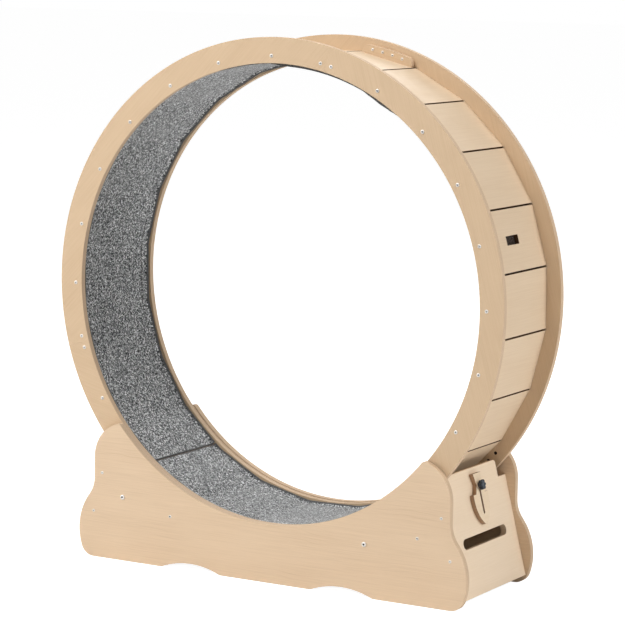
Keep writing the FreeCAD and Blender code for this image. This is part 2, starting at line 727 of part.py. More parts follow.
def rod(label, reach, height):
    """A steel rod between the side panels, tapped at both ends."""
    length = f"(2 * {BOARD_EDGE} + 2 * rod_seat)"
    bar = DOC.addObject("Part::Cylinder", label + "_bar")
    bar.setExpression("Radius", "dims.rod_radius")
    bar.setExpression("Height", named(length))
    tools = [bar]
    for end, lift in (("near", "0"), ("far", f"{length} - bolt_grip")):
        tapping = DOC.addObject("Part::Cylinder", f"{label}_{end}_tapping")
        tapping.setExpression("Radius", named("bolt_radius + pilot_slack"))
        tapping.setExpression("Height", "dims.bolt_grip")
        tapping.setExpression("Placement.Base.z", named(lift))
        cut = DOC.addObject("Part::Cut", f"{label}_{end}")
        cut.Base = tools[-1]
        cut.Tool = tapping
        tools.append(cut)
    piece = tools[-1]
    piece.Placement = FreeCAD.Placement(VECTOR(size(reach), -size(length) / 2, size(height)), ALONG_AXLE)
    piece.setExpression("Placement.Base.x", named(reach))
    piece.setExpression("Placement.Base.z", named(height))
    DOC.recompute()
    return keep(piece, label)


def rod_places():
    """The rods' places as (across, height, which end has the domed bolt: -1 is the front)."""
    low = size(f"axle_height - {AXLE_DROP}")
    axle, tie, tie_height = size("axle_reach"), size("tie_reach"), size("tie_height")
    return [(-axle, low, 1), (axle, low, -1), (-tie, tie_height, -1), (tie, tie_height, 1)]


def rod_bolts(label, domed):
    """The bolts at the rods' ends: a domed head at one end, a small flat one at the other."""
    length = size("board - rod_seat + bolt_grip - bolt_end_gap")
    if domed:
        base, rise = size("dome_radius"), size("dome_height")
        ball = (base**2 + rise**2) / (2 * rise)
        head = Part.makeSphere(ball, VECTOR(0, 0, rise - ball))
        head = head.common(Part.makeCylinder(2 * base, 2 * rise))
        shank = Part.makeCylinder(size("bolt_radius"), length, VECTOR(0, 0, -length))
        bolt = head.fuse(shank).removeSplitter()
    else:
        bolt = screw(size("flat_head_radius"), size("flat_head_height"), size("bolt_radius"), length)
    solids = []
    for across, height, dome_side in rod_places():
        side = dome_side if domed else -dome_side
        place = VECTOR(across, side * size("base_depth / 2"), height)
        solids.append(put(bolt, place, VECTOR(0, side, 0)))
    return group(label, solids)


def end_screws():
    """The screws through the side panels into the end panels' edges."""
    small_screw = screw(size("flat_head_radius"), size("flat_head_height"),
                        size("screw_radius"), size("end_screw_length"))
    solids = []
    for side in (-1, 1):
        for sign in ("-", ""):
            for height in ("end_screw_low", "end_screw_high"):
                across, rise = end_screw_spot(height, sign)
                place = VECTOR(size(across), side * size("base_depth / 2"), size(f"{rise} + axle_height"))
                solids.append(put(small_screw, place, VECTOR(0, side, 0)))
    return group("end_panel_screws", solids)


# ------------------------------------------------------------------------------- rollers

def tube(outer, inner, length, place):
    """A short tube whose axis runs front to back, centred on a place."""
    wall = Part.makeCylinder(outer, length).cut(Part.makeCylinder(inner, length))
    start = place - VECTOR(0, length / 2, 0)
    wall.Placement = FreeCAD.Placement(start, ALONG_AXLE)
    return wall


def roller_place(sign, side):
    """The middle of a roller: under a ring's rim, on one of the two axles."""
    return VECTOR(sign * size("axle_reach"), side * size(RING_SHIFT),
                  size(f"axle_height - {AXLE_DROP}"))


def roller(label, sign, side):
    """The outer races of the two ball bearings that carry one ring at one axle."""
    half = size("roller_width / 2")
    place = roller_place(sign, side)
    solids = [tube(size("roller_radius"), size("race_bore_radius"), half, place + VECTOR(0, shift, 0))
              for shift in (-half / 2, half / 2)]
    return group(label, solids)


def bearing_hubs():
    """The bearings' inner races with their shields, which sit still on the axles."""
    half = size("roller_width / 2")
    solids = []
    for sign in (-1, 1):
        for side in (-1, 1):
            for shift in (-half / 2, half / 2):
                place = roller_place(sign, side) + VECTOR(0, shift, 0)
                solids.append(tube(size("race_bore_radius - race_slack"),
                                   size("rod_radius + rod_slack"), half, place))
    return group("bearing_hubs", solids)


def bearing_spacers():
    """The collars that hold the bearings in line with the rings, one on each side of a pair."""
    outer_gap = size(f"{BOARD_EDGE} - {RING_SHIFT} - roller_width / 2")
    inner = size("collar_length")
    solids = []
    for sign in (-1, 1):
        for side in (-1, 1):
            middle = roller_place(sign, side)
            edge = size("roller_width / 2")
            for length, way in ((outer_gap, side), (inner, -side)):
                place = middle + VECTOR(0, way * (edge + length / 2), 0)
                solids.append(tube(size("collar_radius"), size("rod_radius + rod_slack"), length, place))
    return group("bearing_spacers", solids)


# -------------------------------------------------------------------------------- the lock

def lock_plate():
    """The sliding lock plate, with its slot; its foot is at the frame's origin."""
    body = new_body("lock_plate")
    sketch = new_sketch(body, "XY_Plane", "lock_plate_outline", "lock_slide_gap")
    top = (size("lock_top_half"), size("lock_length"))
    waist = (size("lock_waist_half"), size("lock_waist_height"))
    ledge_height = size("lock_ledge_height")
    ledge_in = (size("lock_ledge_inner"), ledge_height)
    ledge_out = (size("lock_ledge_outer"), ledge_height)
    belly = (size("lock_belly_half"), size("lock_belly_height"))
    tip = (size("lock_tip_half"), 0)
    edges = [
        straight(line(sketch, (0, 0), tip)),
        through(sketch, tip, belly, ledge_out),
        straight(line(sketch, ledge_out, ledge_in)),
        through(sketch, ledge_in, waist, top),
        straight(line(sketch, top, (0, top[1]))),
        straight(line(sketch, (0, top[1]), (0, 0))),
    ]
    close(sketch, edges)
    sketch.addConstraint(Sketcher.Constraint("Coincident", edges[0][0], 1, -1, 1))
    place_point(sketch, edges[0][0], 2, "lock_tip_half", "0")
    place_point(sketch, edges[2][0], 1, "lock_ledge_outer", "lock_ledge_height")
    place_point(sketch, edges[2][0], 2, "lock_ledge_inner", "lock_ledge_height")
    place_point(sketch, edges[4][0], 1, "lock_top_half", "lock_length")
    place_point(sketch, edges[5][0], 1, "0", "lock_length")
    for edge, across, up in ((edges[1], "lock_belly_half", "lock_belly_height"),
                             (edges[3], "lock_waist_half", "lock_waist_height")):
        spot = sketch.addGeometry(Part.Point(VECTOR(size(across), size(up), 0)), True)
        place_point(sketch, spot, 1, across, up)
        sketch.addConstraint(Sketcher.Constraint("PointOnObject", spot, 1, edge[0]))
    mirror(body, pad(body, sketch, "lock_thickness", "One side"))
    upright_slot(body)
    frame = end_frame(1)
    shift = FreeCAD.Placement(VECTOR(0, size("lock_foot"), 0), FreeCAD.Rotation())
    body.Placement = frame.multiply(shift)
    return keep(body, "lock_plate")


def through(sketch, start, middle, end):
    """Draw an arc through three points and describe it as an edge."""
    item = sketch.addGeometry(Part.Arc(VECTOR(*start, 0), VECTOR(*middle, 0), VECTOR(*end, 0)), False)
    first = sketch.getPoint(item, 1)
    forward = math.dist((first.x, first.y), start) < math.dist((first.x, first.y), end)
    return (item, 1, 2) if forward else (item, 2, 1)


def upright_slot(body):
    """The slot of the lock plate, which the clamp screw passes."""
    sketch = new_sketch(body, "XY_Plane", "lock_plate_slot")
    half = size("lock_slot_radius")
    low, high = size("lock_slot_bottom + lock_slot_radius"), size("lock_slot_top - lock_slot_radius")
    top = arc(sketch, (0, high), (half, high), (-half, high))
    left = straight(line(sketch, (-half, high), (-half, low)))
    bottom = arc(sketch, (0, low), (-half, low), (half, low))
    right = straight(line(sketch, (half, low), (half, high)))
    close(sketch, [top, left, bottom, right], range(4))
    bind(sketch, "Radius", (top[0],), "lock_slot_radius")
    bind(sketch, "Radius", (bottom[0],), "lock_slot_radius")
    place_point(sketch, top[0], 3, "0", "lock_slot_top - lock_slot_radius")
    place_point(sketch, bottom[0], 3, "0", "lock_slot_bottom + lock_slot_radius")
    pocket(body, sketch)


def lock_knob():
    """The star knob: a boss, a head with scallops between its lobes and a blind bore."""
    body = new_body("lock_knob")
    boss = new_sketch(body, "XY_Plane", "lock_knob_boss", LOCK_STACK)
    ring = boss.addGeometry(Part.Circle(VECTOR(0, 0, 0), UPRIGHT, size("knob_boss_radius")), False)
    boss.addConstraint(Sketcher.Constraint("Coincident", ring, 3, -1, 1))
    bind(boss, "Radius", (ring,), "knob_boss_radius")
    pad(body, boss, "knob_boss_height", "One side")
    head = new_sketch(body, "XY_Plane", "lock_knob_head", f"{LOCK_STACK} + knob_boss_height")
    ring = head.addGeometry(Part.Circle(VECTOR(0, 0, 0), UPRIGHT, size("knob_radius")), False)
    head.addConstraint(Sketcher.Constraint("Coincident", ring, 3, -1, 1))
    bind(head, "Radius", (ring,), "knob_radius")
    pad(body, head, "knob_height", "One side")
    scallop = new_sketch(body, "XY_Plane", "lock_knob_scallop", f"{LOCK_STACK} + knob_boss_height")
    centre = VECTOR(size("knob_scallop_circle"), 0, 0)
    ring = scallop.addGeometry(Part.Circle(centre, UPRIGHT, size("knob_scallop_radius")), False)
    bind(scallop, "Radius", (ring,), "knob_scallop_radius")
    place_point(scallop, ring, 3, "knob_scallop_circle", "0")
    cut = pocket(body, scallop)
    star = body.newObject("PartDesign::PolarPattern", "lock_knob_star")
    star.Originals = [cut]
    star.Axis = (origin_item(body, "Z_Axis"), [""])
    star.Angle = 360
    star.setExpression("Occurrences", "dims.knob_lobes")
    body.Tip = star
    DOC.recompute()
    drill(body, "XY_Plane", "lock_knob_bore", [("0", "0")], "lock_screw_radius + knob_bore_slack",
          LOCK_STACK, "knob_bore_depth", True)
    body.Placement = end_frame(1).multiply(lock_axis())
    return keep(body, "lock_knob")


def lock_axis():
    """The place of the clamp screw's axis on the end panel."""
    return FreeCAD.Placement(VECTOR(0, size("lock_screw_height"), 0), FreeCAD.Rotation())


def lock_screw():
    """The clamp screw: a flat head inside the base and a shank that ends inside the knob."""
    head = DOC.addObject("Part::Cylinder", "lock_screw_head_disc")
    head.setExpression("Radius", "dims.lock_screw_head")
    head.setExpression("Height", "dims.lock_screw_head_height")
    head.setExpression("Placement.Base.z", named("-board - lock_screw_head_height"))
    shank = DOC.addObject("Part::Cylinder", "lock_screw_shank")
    shank.setExpression("Radius", "dims.lock_screw_radius")
    shank.setExpression("Height", named(f"board + {LOCK_STACK} + knob_bore_depth - knob_bore_end_gap"))
    shank.setExpression("Placement.Base.z", named("-board"))
    piece = DOC.addObject("Part::Fuse", "lock_screw")
    piece.Base = head
    piece.Tool = shank
    DOC.recompute()
    piece.Placement = end_frame(1).multiply(lock_axis())
    return keep(piece, "lock_screw")


# ------------------------------------------------------------------------------ assembly

def build():
    """Make every sub-part."""
    for name, side in (("front", -1), ("rear", 1)):
        for index in range(round(size("ring_segments"))):
            ring_segment(f"{name}_ring_{index + 1}", index, side)
        splice_plate(f"{name}_splice_plate", side)
        slat_screws(f"{name}_slat_screws", side)
    for index in range(1, round(size("slat_count")) + 1):
        slat(index)
    carpet()
    splice_screws()

    side_panel("front_side_panel", -1)
    side_panel("rear_side_panel", 1)
    end_panel("lock_end_panel", 1)
    end_panel("plain_end_panel", -1)
    low = f"axle_height - {AXLE_DROP}"
    rod("left_axle", "-axle_reach", low)
    rod("right_axle", "axle_reach", low)
    rod("left_tie_rod", "-tie_reach", "tie_height")
    rod("right_tie_rod", "tie_reach", "tie_height")
    rod_bolts("domed_bolts", True)
    rod_bolts("flat_bolts", False)
    end_screws()

    for name, sign, side in (("front_left", -1, -1), ("front_right", 1, -1),
                             ("rear_left", -1, 1), ("rear_right", 1, 1)):
        roller(f"{name}_roller", sign, side)
    bearing_hubs()
    bearing_spacers()

    lock_plate()
    lock_knob()
    lock_screw()


def check():
    """Stop if any object failed or any sub-part is empty or not valid."""
    DOC.recompute()
    for item in DOC.Objects:
        if "Invalid" in item.State or "Error" in item.State:
            raise RuntimeError(f"{item.Name} is {item.State}")
    for piece in PIECES:
        if piece.Shape.isNull() or not piece.Shape.isValid() or not piece.Shape.Solids:
            raise RuntimeError(f"{piece.Label} has no valid shape")


def write():
    """Write each sub-part to a file of its own."""
    os.makedirs("parts", exist_ok=True)
    for piece in PIECES:
        piece.Shape.exportStep(os.path.join("parts", piece.Label + ".step"))
        print(f"{piece.Label:22s} solids {len(piece.Shape.Solids):3d} volume {piece.Shape.Volume:12.1f}")


build()
check()
write()
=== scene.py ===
"""Looks of a cat exercise wheel.

Pale veneered plywood boards, a speckled carpet lining, steel screws and rods, and a dark star knob,
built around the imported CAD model, in metres and in its frame: the origin is on the floor under the
middle of the wheel, +X runs to the end with the lock, -Y is the front and +Z is up.
"""

from __future__ import annotations

import json
import logging
import math
from dataclasses import dataclass, field
from enum import Enum
from typing import Callable, Sequence

import bpy
from mathutils import Matrix, Vector, noise
from mathutils.geometry import tessellate_polygon

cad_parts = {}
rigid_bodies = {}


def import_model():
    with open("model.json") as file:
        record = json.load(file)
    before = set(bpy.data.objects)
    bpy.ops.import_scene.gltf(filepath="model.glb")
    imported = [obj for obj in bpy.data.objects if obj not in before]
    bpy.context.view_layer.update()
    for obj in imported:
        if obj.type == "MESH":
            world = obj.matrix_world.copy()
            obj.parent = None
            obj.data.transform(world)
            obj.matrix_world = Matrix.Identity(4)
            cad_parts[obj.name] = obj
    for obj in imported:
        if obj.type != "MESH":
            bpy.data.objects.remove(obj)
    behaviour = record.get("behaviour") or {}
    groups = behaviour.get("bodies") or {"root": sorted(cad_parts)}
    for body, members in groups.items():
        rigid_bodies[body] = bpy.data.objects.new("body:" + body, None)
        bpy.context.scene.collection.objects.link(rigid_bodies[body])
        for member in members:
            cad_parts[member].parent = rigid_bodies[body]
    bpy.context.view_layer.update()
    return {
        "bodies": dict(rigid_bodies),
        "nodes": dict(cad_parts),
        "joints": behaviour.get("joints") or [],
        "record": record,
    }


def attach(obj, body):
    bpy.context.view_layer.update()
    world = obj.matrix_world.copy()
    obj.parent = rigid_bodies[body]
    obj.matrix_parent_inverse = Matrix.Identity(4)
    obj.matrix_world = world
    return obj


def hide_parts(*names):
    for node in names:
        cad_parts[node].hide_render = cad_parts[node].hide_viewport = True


LOG = logging.getLogger("wheel_looks")

Point = tuple[float, float]
Loop = list[Point]

MM = 0.001
WHITE = (1.0, 1.0, 1.0)
CORNER_LIMIT = math.radians(20.0)  # below this turn, a corner of an outline is part of a curve
# the wall mask's value inside a blind hole, where the finish paints shade
HOLLOW = 2.0  # what the wall mask reads inside a blind hole
PIT_SIDES = 20
HEAD_TWIST = 2.4  # radians from one head's recess to the next one's
GRAIN_SHIFT = Vector((0.731, 0.417, 0.0))  # from one board's grain to the next one's, in metres

# Each kind of board counts its grain on from its own number.
RING_GRAIN = 2
SLAT_GRAIN = 11
SPLICE_GRAIN = 50
SIDE_GRAIN = 71
END_GRAIN = 81
PLATE_GRAIN = 91


class Slot(str, Enum):
    """The record's material slots."""

    PLYWOOD = "plywood"
    CARPET = "carpet"
    STEEL = "steel"
    KNOB = "knob"


class Recess(Enum):
    """The driver's recess in a screw head, by the number of its corners or wings."""

    CROSS = 4
    HEXAGON = 6


# --------------------------------------------------------------------------- shader building


class NodeDesk:
    """Adds nodes to one tree and wires them."""

    def __init__(self, tree: bpy.types.NodeTree) -> None:
        """Work on a tree.

        Args:
            tree: The node tree of a material, a world or a group.
        """
        self.tree = tree

    def add(self, kind: str, **settings: object) -> bpy.types.Node:
        """Add a node and set its properties.

        Args:
            kind: The node's type name.
            settings: Values of the node's own properties.

        Returns:
            The new node.
        """
        node = self.tree.nodes.new(kind)
        for name, value in settings.items():
            setattr(node, name, value)
        return node

    def feed(self, node: bpy.types.Node, **sockets: object) -> bpy.types.Node:
        """Set or link inputs of a node; a name's underscores stand for spaces.

        Args:
            node: The node that takes the values.
            sockets: A socket to link or a plain value for each input.

        Returns:
            The same node.
        """
        for name, value in sockets.items():
            socket = node.inputs[name.replace("_", " ")]
            self.join(value, socket)
        return node

    def join(self, value: object, socket: bpy.types.NodeSocket) -> None:
        """Link a socket to an input, or set the input to a plain value.

        Args:
            value: An output socket or a plain value.
            socket: The input.
        """
        if isinstance(value, bpy.types.NodeSocket):
            self.tree.links.new(value, socket)
        elif socket.type == "RGBA":
            socket.default_value = (*value, 1.0)
        else:
            socket.default_value = value

    def calc(self, operation: str, *values: object, clamp: bool = False) -> bpy.types.NodeSocket:
        """Add a Math node.

        Args:
            operation: The node's operation.
            values: Its inputs, sockets or numbers.
            clamp: Whether the result stays between 0 and 1.

        Returns:
            The result's socket.
        """
        node = self.add("ShaderNodeMath", operation=operation, use_clamp=clamp)
        for value, socket in zip(values, node.inputs):
            self.join(value, socket)
        return node.outputs[0]

    def stretch(self, vector: object, scale: tuple[float, float, float]) -> bpy.types.NodeSocket:
        """Multiply a vector by three factors.

        Args:
            vector: A socket or a plain vector.
            scale: The factors.

        Returns:
            The result's socket.
        """
        node = self.add("ShaderNodeVectorMath", operation="MULTIPLY")
        self.join(vector, node.inputs[0])
        node.inputs[1].default_value = scale
        return node.outputs[0]

    def noise(self, vector: object, scale: float, detail: float = 2.0,
              rough: float = 0.5) -> bpy.types.NodeSocket:
        """Add a Noise texture.

        Args:
            vector: Where it is read.
            scale: How fine it is.
            detail: How many finer layers it has.
            rough: How strong those are.

        Returns:
            Its value's socket.
        """
        node = self.add("ShaderNodeTexNoise")
        self.feed(node, Vector=vector, Scale=scale, Detail=detail, Roughness=rough)
        return node.outputs[0]

    def remap(self, value: object, low: float, high: float, to_low: float = 0.0,
              to_high: float = 1.0) -> bpy.types.NodeSocket:
        """Map a range of values smoothly to another.

        Args:
            value: The value.
            low: The range's start.
            high: Its end.
            to_low: What the start becomes.
            to_high: What the end becomes.

        Returns:
            The result's socket.
        """
        node = self.add("ShaderNodeMapRange", interpolation_type="SMOOTHSTEP")
        self.feed(node, Value=value, From_Min=low, From_Max=high, To_Min=to_low, To_Max=to_high)
        return node.outputs[0]

    def blend(self, factor: object, first: object, second: object) -> bpy.types.NodeSocket:
        """Mix two colours.

        Args:
            factor: How much of the second colour shows.
            first: A colour or its socket.
            second: A colour or its socket.

        Returns:
            The mixed colour's socket.
        """
        node = self.add("ShaderNodeMix", data_type="RGBA")
        self.join(factor, node.inputs[0])
        self.join(first, node.inputs[6])
        self.join(second, node.inputs[7])
        return node.outputs[2]


class GroupShelf:
    """The shader groups that several materials share, each built once."""

    def __init__(self) -> None:
        """Build every group."""
        self.grain = self._veneer_grain()
        self.plies = self._ply_layers()
        self.handling = self._handling()

    @staticmethod
    def _open(name: str, inputs: Sequence[tuple[str, str, object]],
              outputs: Sequence[str]) -> tuple[NodeDesk, bpy.types.Node, bpy.types.Node]:
        """Start a group.

        Args:
            name: The group's name.
            inputs: Each input's name, socket type and default value, or None for no default.
            outputs: The names of the outputs, all single values.

        Returns:
            A desk on the group and its input and output nodes.
        """
        tree = bpy.data.node_groups.new(name, "ShaderNodeTree")
        for label, kind, value in inputs:
            socket = tree.interface.new_socket(name=label, in_out="INPUT", socket_type=kind)
            if value is not None:
                socket.default_value = value
        for label in outputs:
            tree.interface.new_socket(name=label, in_out="OUTPUT", socket_type="NodeSocketFloat")
        desk = NodeDesk(tree)
        return desk, desk.add("NodeGroupInput"), desk.add("NodeGroupOutput")

    def _veneer_grain(self) -> bpy.types.NodeTree:
        """Wood grain: fibres, short pores and wavy growth lines along a board.

        Returns:
            The group; Shade darkens with 1 and Height is for a bump.
        """
        desk, source, sink = self._open(
            "veneer_grain",
            [("Place", "NodeSocketVector", None), ("Fibre", "NodeSocketFloat", 0.5),
             ("Figure", "NodeSocketFloat", 0.5), ("Line Pitch", "NodeSocketFloat", 0.016)],
            ["Shade", "Height"])
        place = source.outputs["Place"]
        fibre = desk.noise(desk.stretch(place, (9.0, 520.0, 520.0)), 1.0, 4.0, 0.6)
        pores = desk.noise(desk.stretch(place, (60.0, 1300.0, 1300.0)), 1.0, 2.0, 0.5)
        drift = desk.noise(desk.stretch(place, (3.2, 14.0, 14.0)), 1.0, 3.0, 0.55)
        patch = desk.noise(desk.stretch(place, (2.0, 11.0, 11.0)), 1.7, 2.0, 0.5)
        across = desk.add("ShaderNodeSeparateXYZ")
        desk.feed(across, Vector=place)
        pitch = desk.calc("DIVIDE", across.outputs["Y"], source.outputs["Line Pitch"])
        phase = desk.calc("ADD", pitch, desk.calc("MULTIPLY", drift, 6.0))
        wave = desk.calc("PINGPONG", phase, 0.5)
        line = desk.remap(wave, 0.5, 0.38)
        line = desk.calc("SUBTRACT", 1.0, line)
        line = desk.calc("MULTIPLY", line, desk.remap(patch, 0.42, 0.68))
        strands = desk.remap(fibre, 0.30, 0.72)
        dots = desk.remap(pores, 0.60, 0.78)
        shade = desk.calc("MULTIPLY", strands, source.outputs["Fibre"])
        shade = desk.calc("ADD", shade, desk.calc("MULTIPLY", line, source.outputs["Figure"]))
        faint = desk.calc("MULTIPLY", source.outputs["Fibre"], 0.35)
        shade = desk.calc("ADD", shade, desk.calc("MULTIPLY", dots, faint))
        broad = desk.calc("MULTIPLY", desk.calc("SUBTRACT", patch, 0.5), 0.6)
        desk.feed(sink, Shade=desk.calc("ADD", shade, broad, clamp=True),
                  Height=desk.calc("SUBTRACT", 1.0, desk.calc("ADD", desk.calc("MULTIPLY", dots, 0.6),
                                                              desk.calc("MULTIPLY", strands, 0.4))))
        return desk.tree

    def _ply_layers(self) -> bpy.types.NodeTree:
        """Layers of plywood on a sawn edge.

        Returns:
            The group; Band is 1 on the plies that show their end grain.
        """
        desk, source, sink = self._open(
            "ply_layers",
            [("Place", "NodeSocketVector", None), ("Ply", "NodeSocketFloat", 0.0013)],
            ["Band", "Fleck"])
        place = source.outputs["Place"]
        wobble = desk.calc("MULTIPLY", desk.noise(desk.stretch(place, (40.0, 40.0, 0.0)), 1.0), 0.0003)
        parts = desk.add("ShaderNodeSeparateXYZ")
        desk.feed(parts, Vector=place)
        level = desk.calc("DIVIDE", desk.calc("ADD", parts.outputs["Z"], wobble), source.outputs["Ply"])
        wave = desk.calc("PINGPONG", level, 1.0)
        fleck = desk.noise(desk.stretch(place, (900.0, 900.0, 500.0)), 1.0, 2.0)
        desk.feed(sink, Band=desk.remap(wave, 0.38, 0.62), Fleck=desk.remap(fleck, 0.35, 0.7))
        return desk.tree

    def _handling(self) -> bpy.types.NodeTree:
        """Uneven sheen and faint marks from handling, on every finish.

        Returns:
            The group; Gloss is near 0.5 and varies, Smudge is a sparse mask.
        """
        desk, source, sink = self._open(
            "handling", [("Place", "NodeSocketVector", None), ("Size", "NodeSocketFloat", 12.0)],
            ["Gloss", "Smudge"])
        wide = desk.add("ShaderNodeTexNoise")
        desk.feed(wide, Vector=source.outputs["Place"], Scale=source.outputs["Size"], Detail=3.0)
        fine = desk.add("ShaderNodeTexNoise")
        desk.feed(fine, Vector=source.outputs["Place"],
                  Scale=desk.calc("MULTIPLY", source.outputs["Size"], 7.0), Detail=4.0)
        desk.feed(sink, Gloss=desk.calc("ADD", desk.calc("MULTIPLY", wide.outputs[0], 0.6),
                                        desk.calc("MULTIPLY", fine.outputs[0], 0.4)),
                  Smudge=desk.remap(wide.outputs[0], 0.56, 0.74))
        return desk.tree


# --------------------------------------------------------------------------------- finishes


def new_surface(name: str) -> tuple[bpy.types.Material, NodeDesk, bpy.types.Node]:
    """Make a material with a Principled shader alone.

    Args:
        name: The material's name.

    Returns:
        The material, a desk on its nodes and the shader.
    """
    material = bpy.data.materials.new(name)
    material.use_nodes = True
    desk = NodeDesk(material.node_tree)
    material.node_tree.nodes.clear()
    shader = desk.add("ShaderNodeBsdfPrincipled")
    output = desk.add("ShaderNodeOutputMaterial")
    desk.feed(output, Surface=shader.outputs[0])
    return material, desk, shader


@dataclass(frozen=True)
class PlywoodFinish:
    """Clear-oiled veneer with layered edges and painted shade inside blind holes; colours are linear."""

    name: str
    light: tuple[float, float, float]
    dark: tuple[float, float, float]
    fibre: float = 0.42
    figure: float = 0.5
    line_pitch: float = 0.016
    edge_light: tuple[float, float, float] = (0.80, 0.60, 0.42)
    edge_dark: tuple[float, float, float] = (0.56, 0.40, 0.26)
    smudge: tuple[float, float, float] = (0.66, 0.46, 0.29)
    # near black: painted shade on the walls of blind holes
    hole_shade: tuple[float, float, float] = (0.030, 0.018, 0.010)
    gloss: float = 0.32

    def build(self, shelf: GroupShelf) -> bpy.types.Material:
        """Build the material from the boards' grain and wall attributes.

        Args:
            shelf: The shared groups.

        Returns:
            The material.
        """
        material, desk, shader = new_surface(self.name)
        place = desk.add("ShaderNodeAttribute", attribute_name="grain").outputs["Vector"]
        wall = desk.add("ShaderNodeAttribute", attribute_name="wall").outputs["Fac"]
        grain = desk.feed(desk.add("ShaderNodeGroup", node_tree=shelf.grain), Place=place, Fibre=self.fibre,
                          Figure=self.figure, Line_Pitch=self.line_pitch)
        plies = desk.feed(desk.add("ShaderNodeGroup", node_tree=shelf.plies), Place=place)
        handling = desk.feed(desk.add("ShaderNodeGroup", node_tree=shelf.handling), Place=place, Size=9.0)
        face = desk.blend(grain.outputs["Shade"], self.light, self.dark)
        face = desk.blend(desk.calc("MULTIPLY", handling.outputs["Smudge"], 0.10), face, self.smudge)
        edge = desk.blend(plies.outputs["Band"], self.edge_light, self.edge_dark)
        edge = desk.blend(desk.calc("MULTIPLY", plies.outputs["Fleck"], 0.22), edge, self.edge_dark)
        edge_mask = desk.remap(wall, 0.35, 0.65)
        color = desk.blend(edge_mask, face, edge)
        # the walls of blind holes take the painted shade colour
        color = desk.blend(desk.remap(wall, 1.2, 0.8 * HOLLOW), color, self.hole_shade)
        gloss = desk.remap(handling.outputs["Gloss"], 0.3, 0.7, 0.46, 0.62)
        rough = desk.calc("ADD", gloss, desk.calc("MULTIPLY", edge_mask, 0.2), clamp=True)
        bump = desk.feed(desk.add("ShaderNodeBump"), Height=grain.outputs["Height"], Strength=0.12,
                         Distance=0.4 * MM)
        desk.feed(shader, Base_Color=color, Roughness=rough, Normal=bump.outputs[0])
        shader.inputs["Specular IOR Level"].default_value = self.gloss
        return material


@dataclass(frozen=True)
class CarpetFinish:
    """Short grey pile, speckled light and dark, with dark thread, a dark binding that is partly painted shade,
    and painted shade at the seam ends and on the strip's sides and back; colours are linear.
    """

    name: str = "grey_carpet"
    dark: tuple[float, float, float] = (0.020, 0.021, 0.023)
    middle: tuple[float, float, float] = (0.205, 0.211, 0.216)
    light: tuple[float, float, float] = (0.905, 0.920, 0.920)
    thread_and_shade_color: tuple[float, float, float] = (0.088, 0.086, 0.084)
    # painted shade on the strip's sides and back
    edge_shade: tuple[float, float, float] = (0.032, 0.017, 0.009)
    tuft_scale: float = 470.0
    clump_scale: float = 260.0
    tuft_share: float = 0.72
    dark_to_middle: tuple[float, float] = (0.25, 0.45)
    middle_to_light: tuple[float, float] = (0.58, 0.78)

    def build(self, shelf: GroupShelf) -> bpy.types.Material:
        """Build the material from the carpet's own coordinates.

        Args:
            shelf: The shared groups.

        Returns:
            The material.
        """
        material, desk, shader = new_surface(self.name)
        place = desk.add("ShaderNodeAttribute", attribute_name="grain").outputs["Vector"]
        wall = desk.add("ShaderNodeAttribute", attribute_name="wall").outputs["Fac"]
        stitch_and_shade = desk.add("ShaderNodeAttribute", attribute_name="stitch_and_shade").outputs["Fac"]
        handling = desk.feed(desk.add("ShaderNodeGroup", node_tree=shelf.handling), Place=place, Size=16.0)
        tuft = desk.add("ShaderNodeTexVoronoi")
        flat = desk.stretch(place, (1.0, 1.0, 0.0))
        desk.feed(tuft, Vector=flat, Scale=self.tuft_scale)
        tone = desk.add("ShaderNodeSeparateColor")
        desk.feed(tone, Color=tuft.outputs["Color"])
        clump = desk.remap(desk.noise(flat, self.clump_scale, 2.0, 0.6), 0.30, 0.70)
        level = desk.calc("ADD", desk.calc("MULTIPLY", tone.outputs[0], self.tuft_share),
                          desk.calc("MULTIPLY", clump, 1 - self.tuft_share))
        color = desk.blend(desk.remap(level, *self.dark_to_middle), self.dark, self.middle)
        color = desk.blend(desk.remap(level, *self.middle_to_light), color, self.light)
        # the thread colour marks the stitches, the binding (partly painted shade) and painted shade at the
        # seam ends
        stitch_and_shade_mask = desk.remap(stitch_and_shade, 0.30, 0.60)
        color = desk.blend(desk.calc("MULTIPLY", stitch_and_shade_mask, 0.95), color, self.thread_and_shade_color)
        # the edge colour is painted shade on the strip's sides and back
        color = desk.blend(desk.remap(wall, 0.35, 0.65), color, self.edge_shade)
        relief = desk.remap(stitch_and_shade_mask, 0.0, 1.0, 0.8, 0.2)
        bump = desk.feed(desk.add("ShaderNodeBump"), Height=level, Strength=relief, Distance=1.2 * MM)
        rough = desk.remap(handling.outputs["Gloss"], 0.3, 0.7, 0.88, 0.98)
        desk.feed(shader, Base_Color=color, Roughness=rough, Normal=bump.outputs[0])
        shader.inputs["Specular IOR Level"].default_value = 0.15
        shader.inputs["Sheen Weight"].default_value = 1.0
        shader.inputs["Sheen Roughness"].default_value = 0.35
        return material


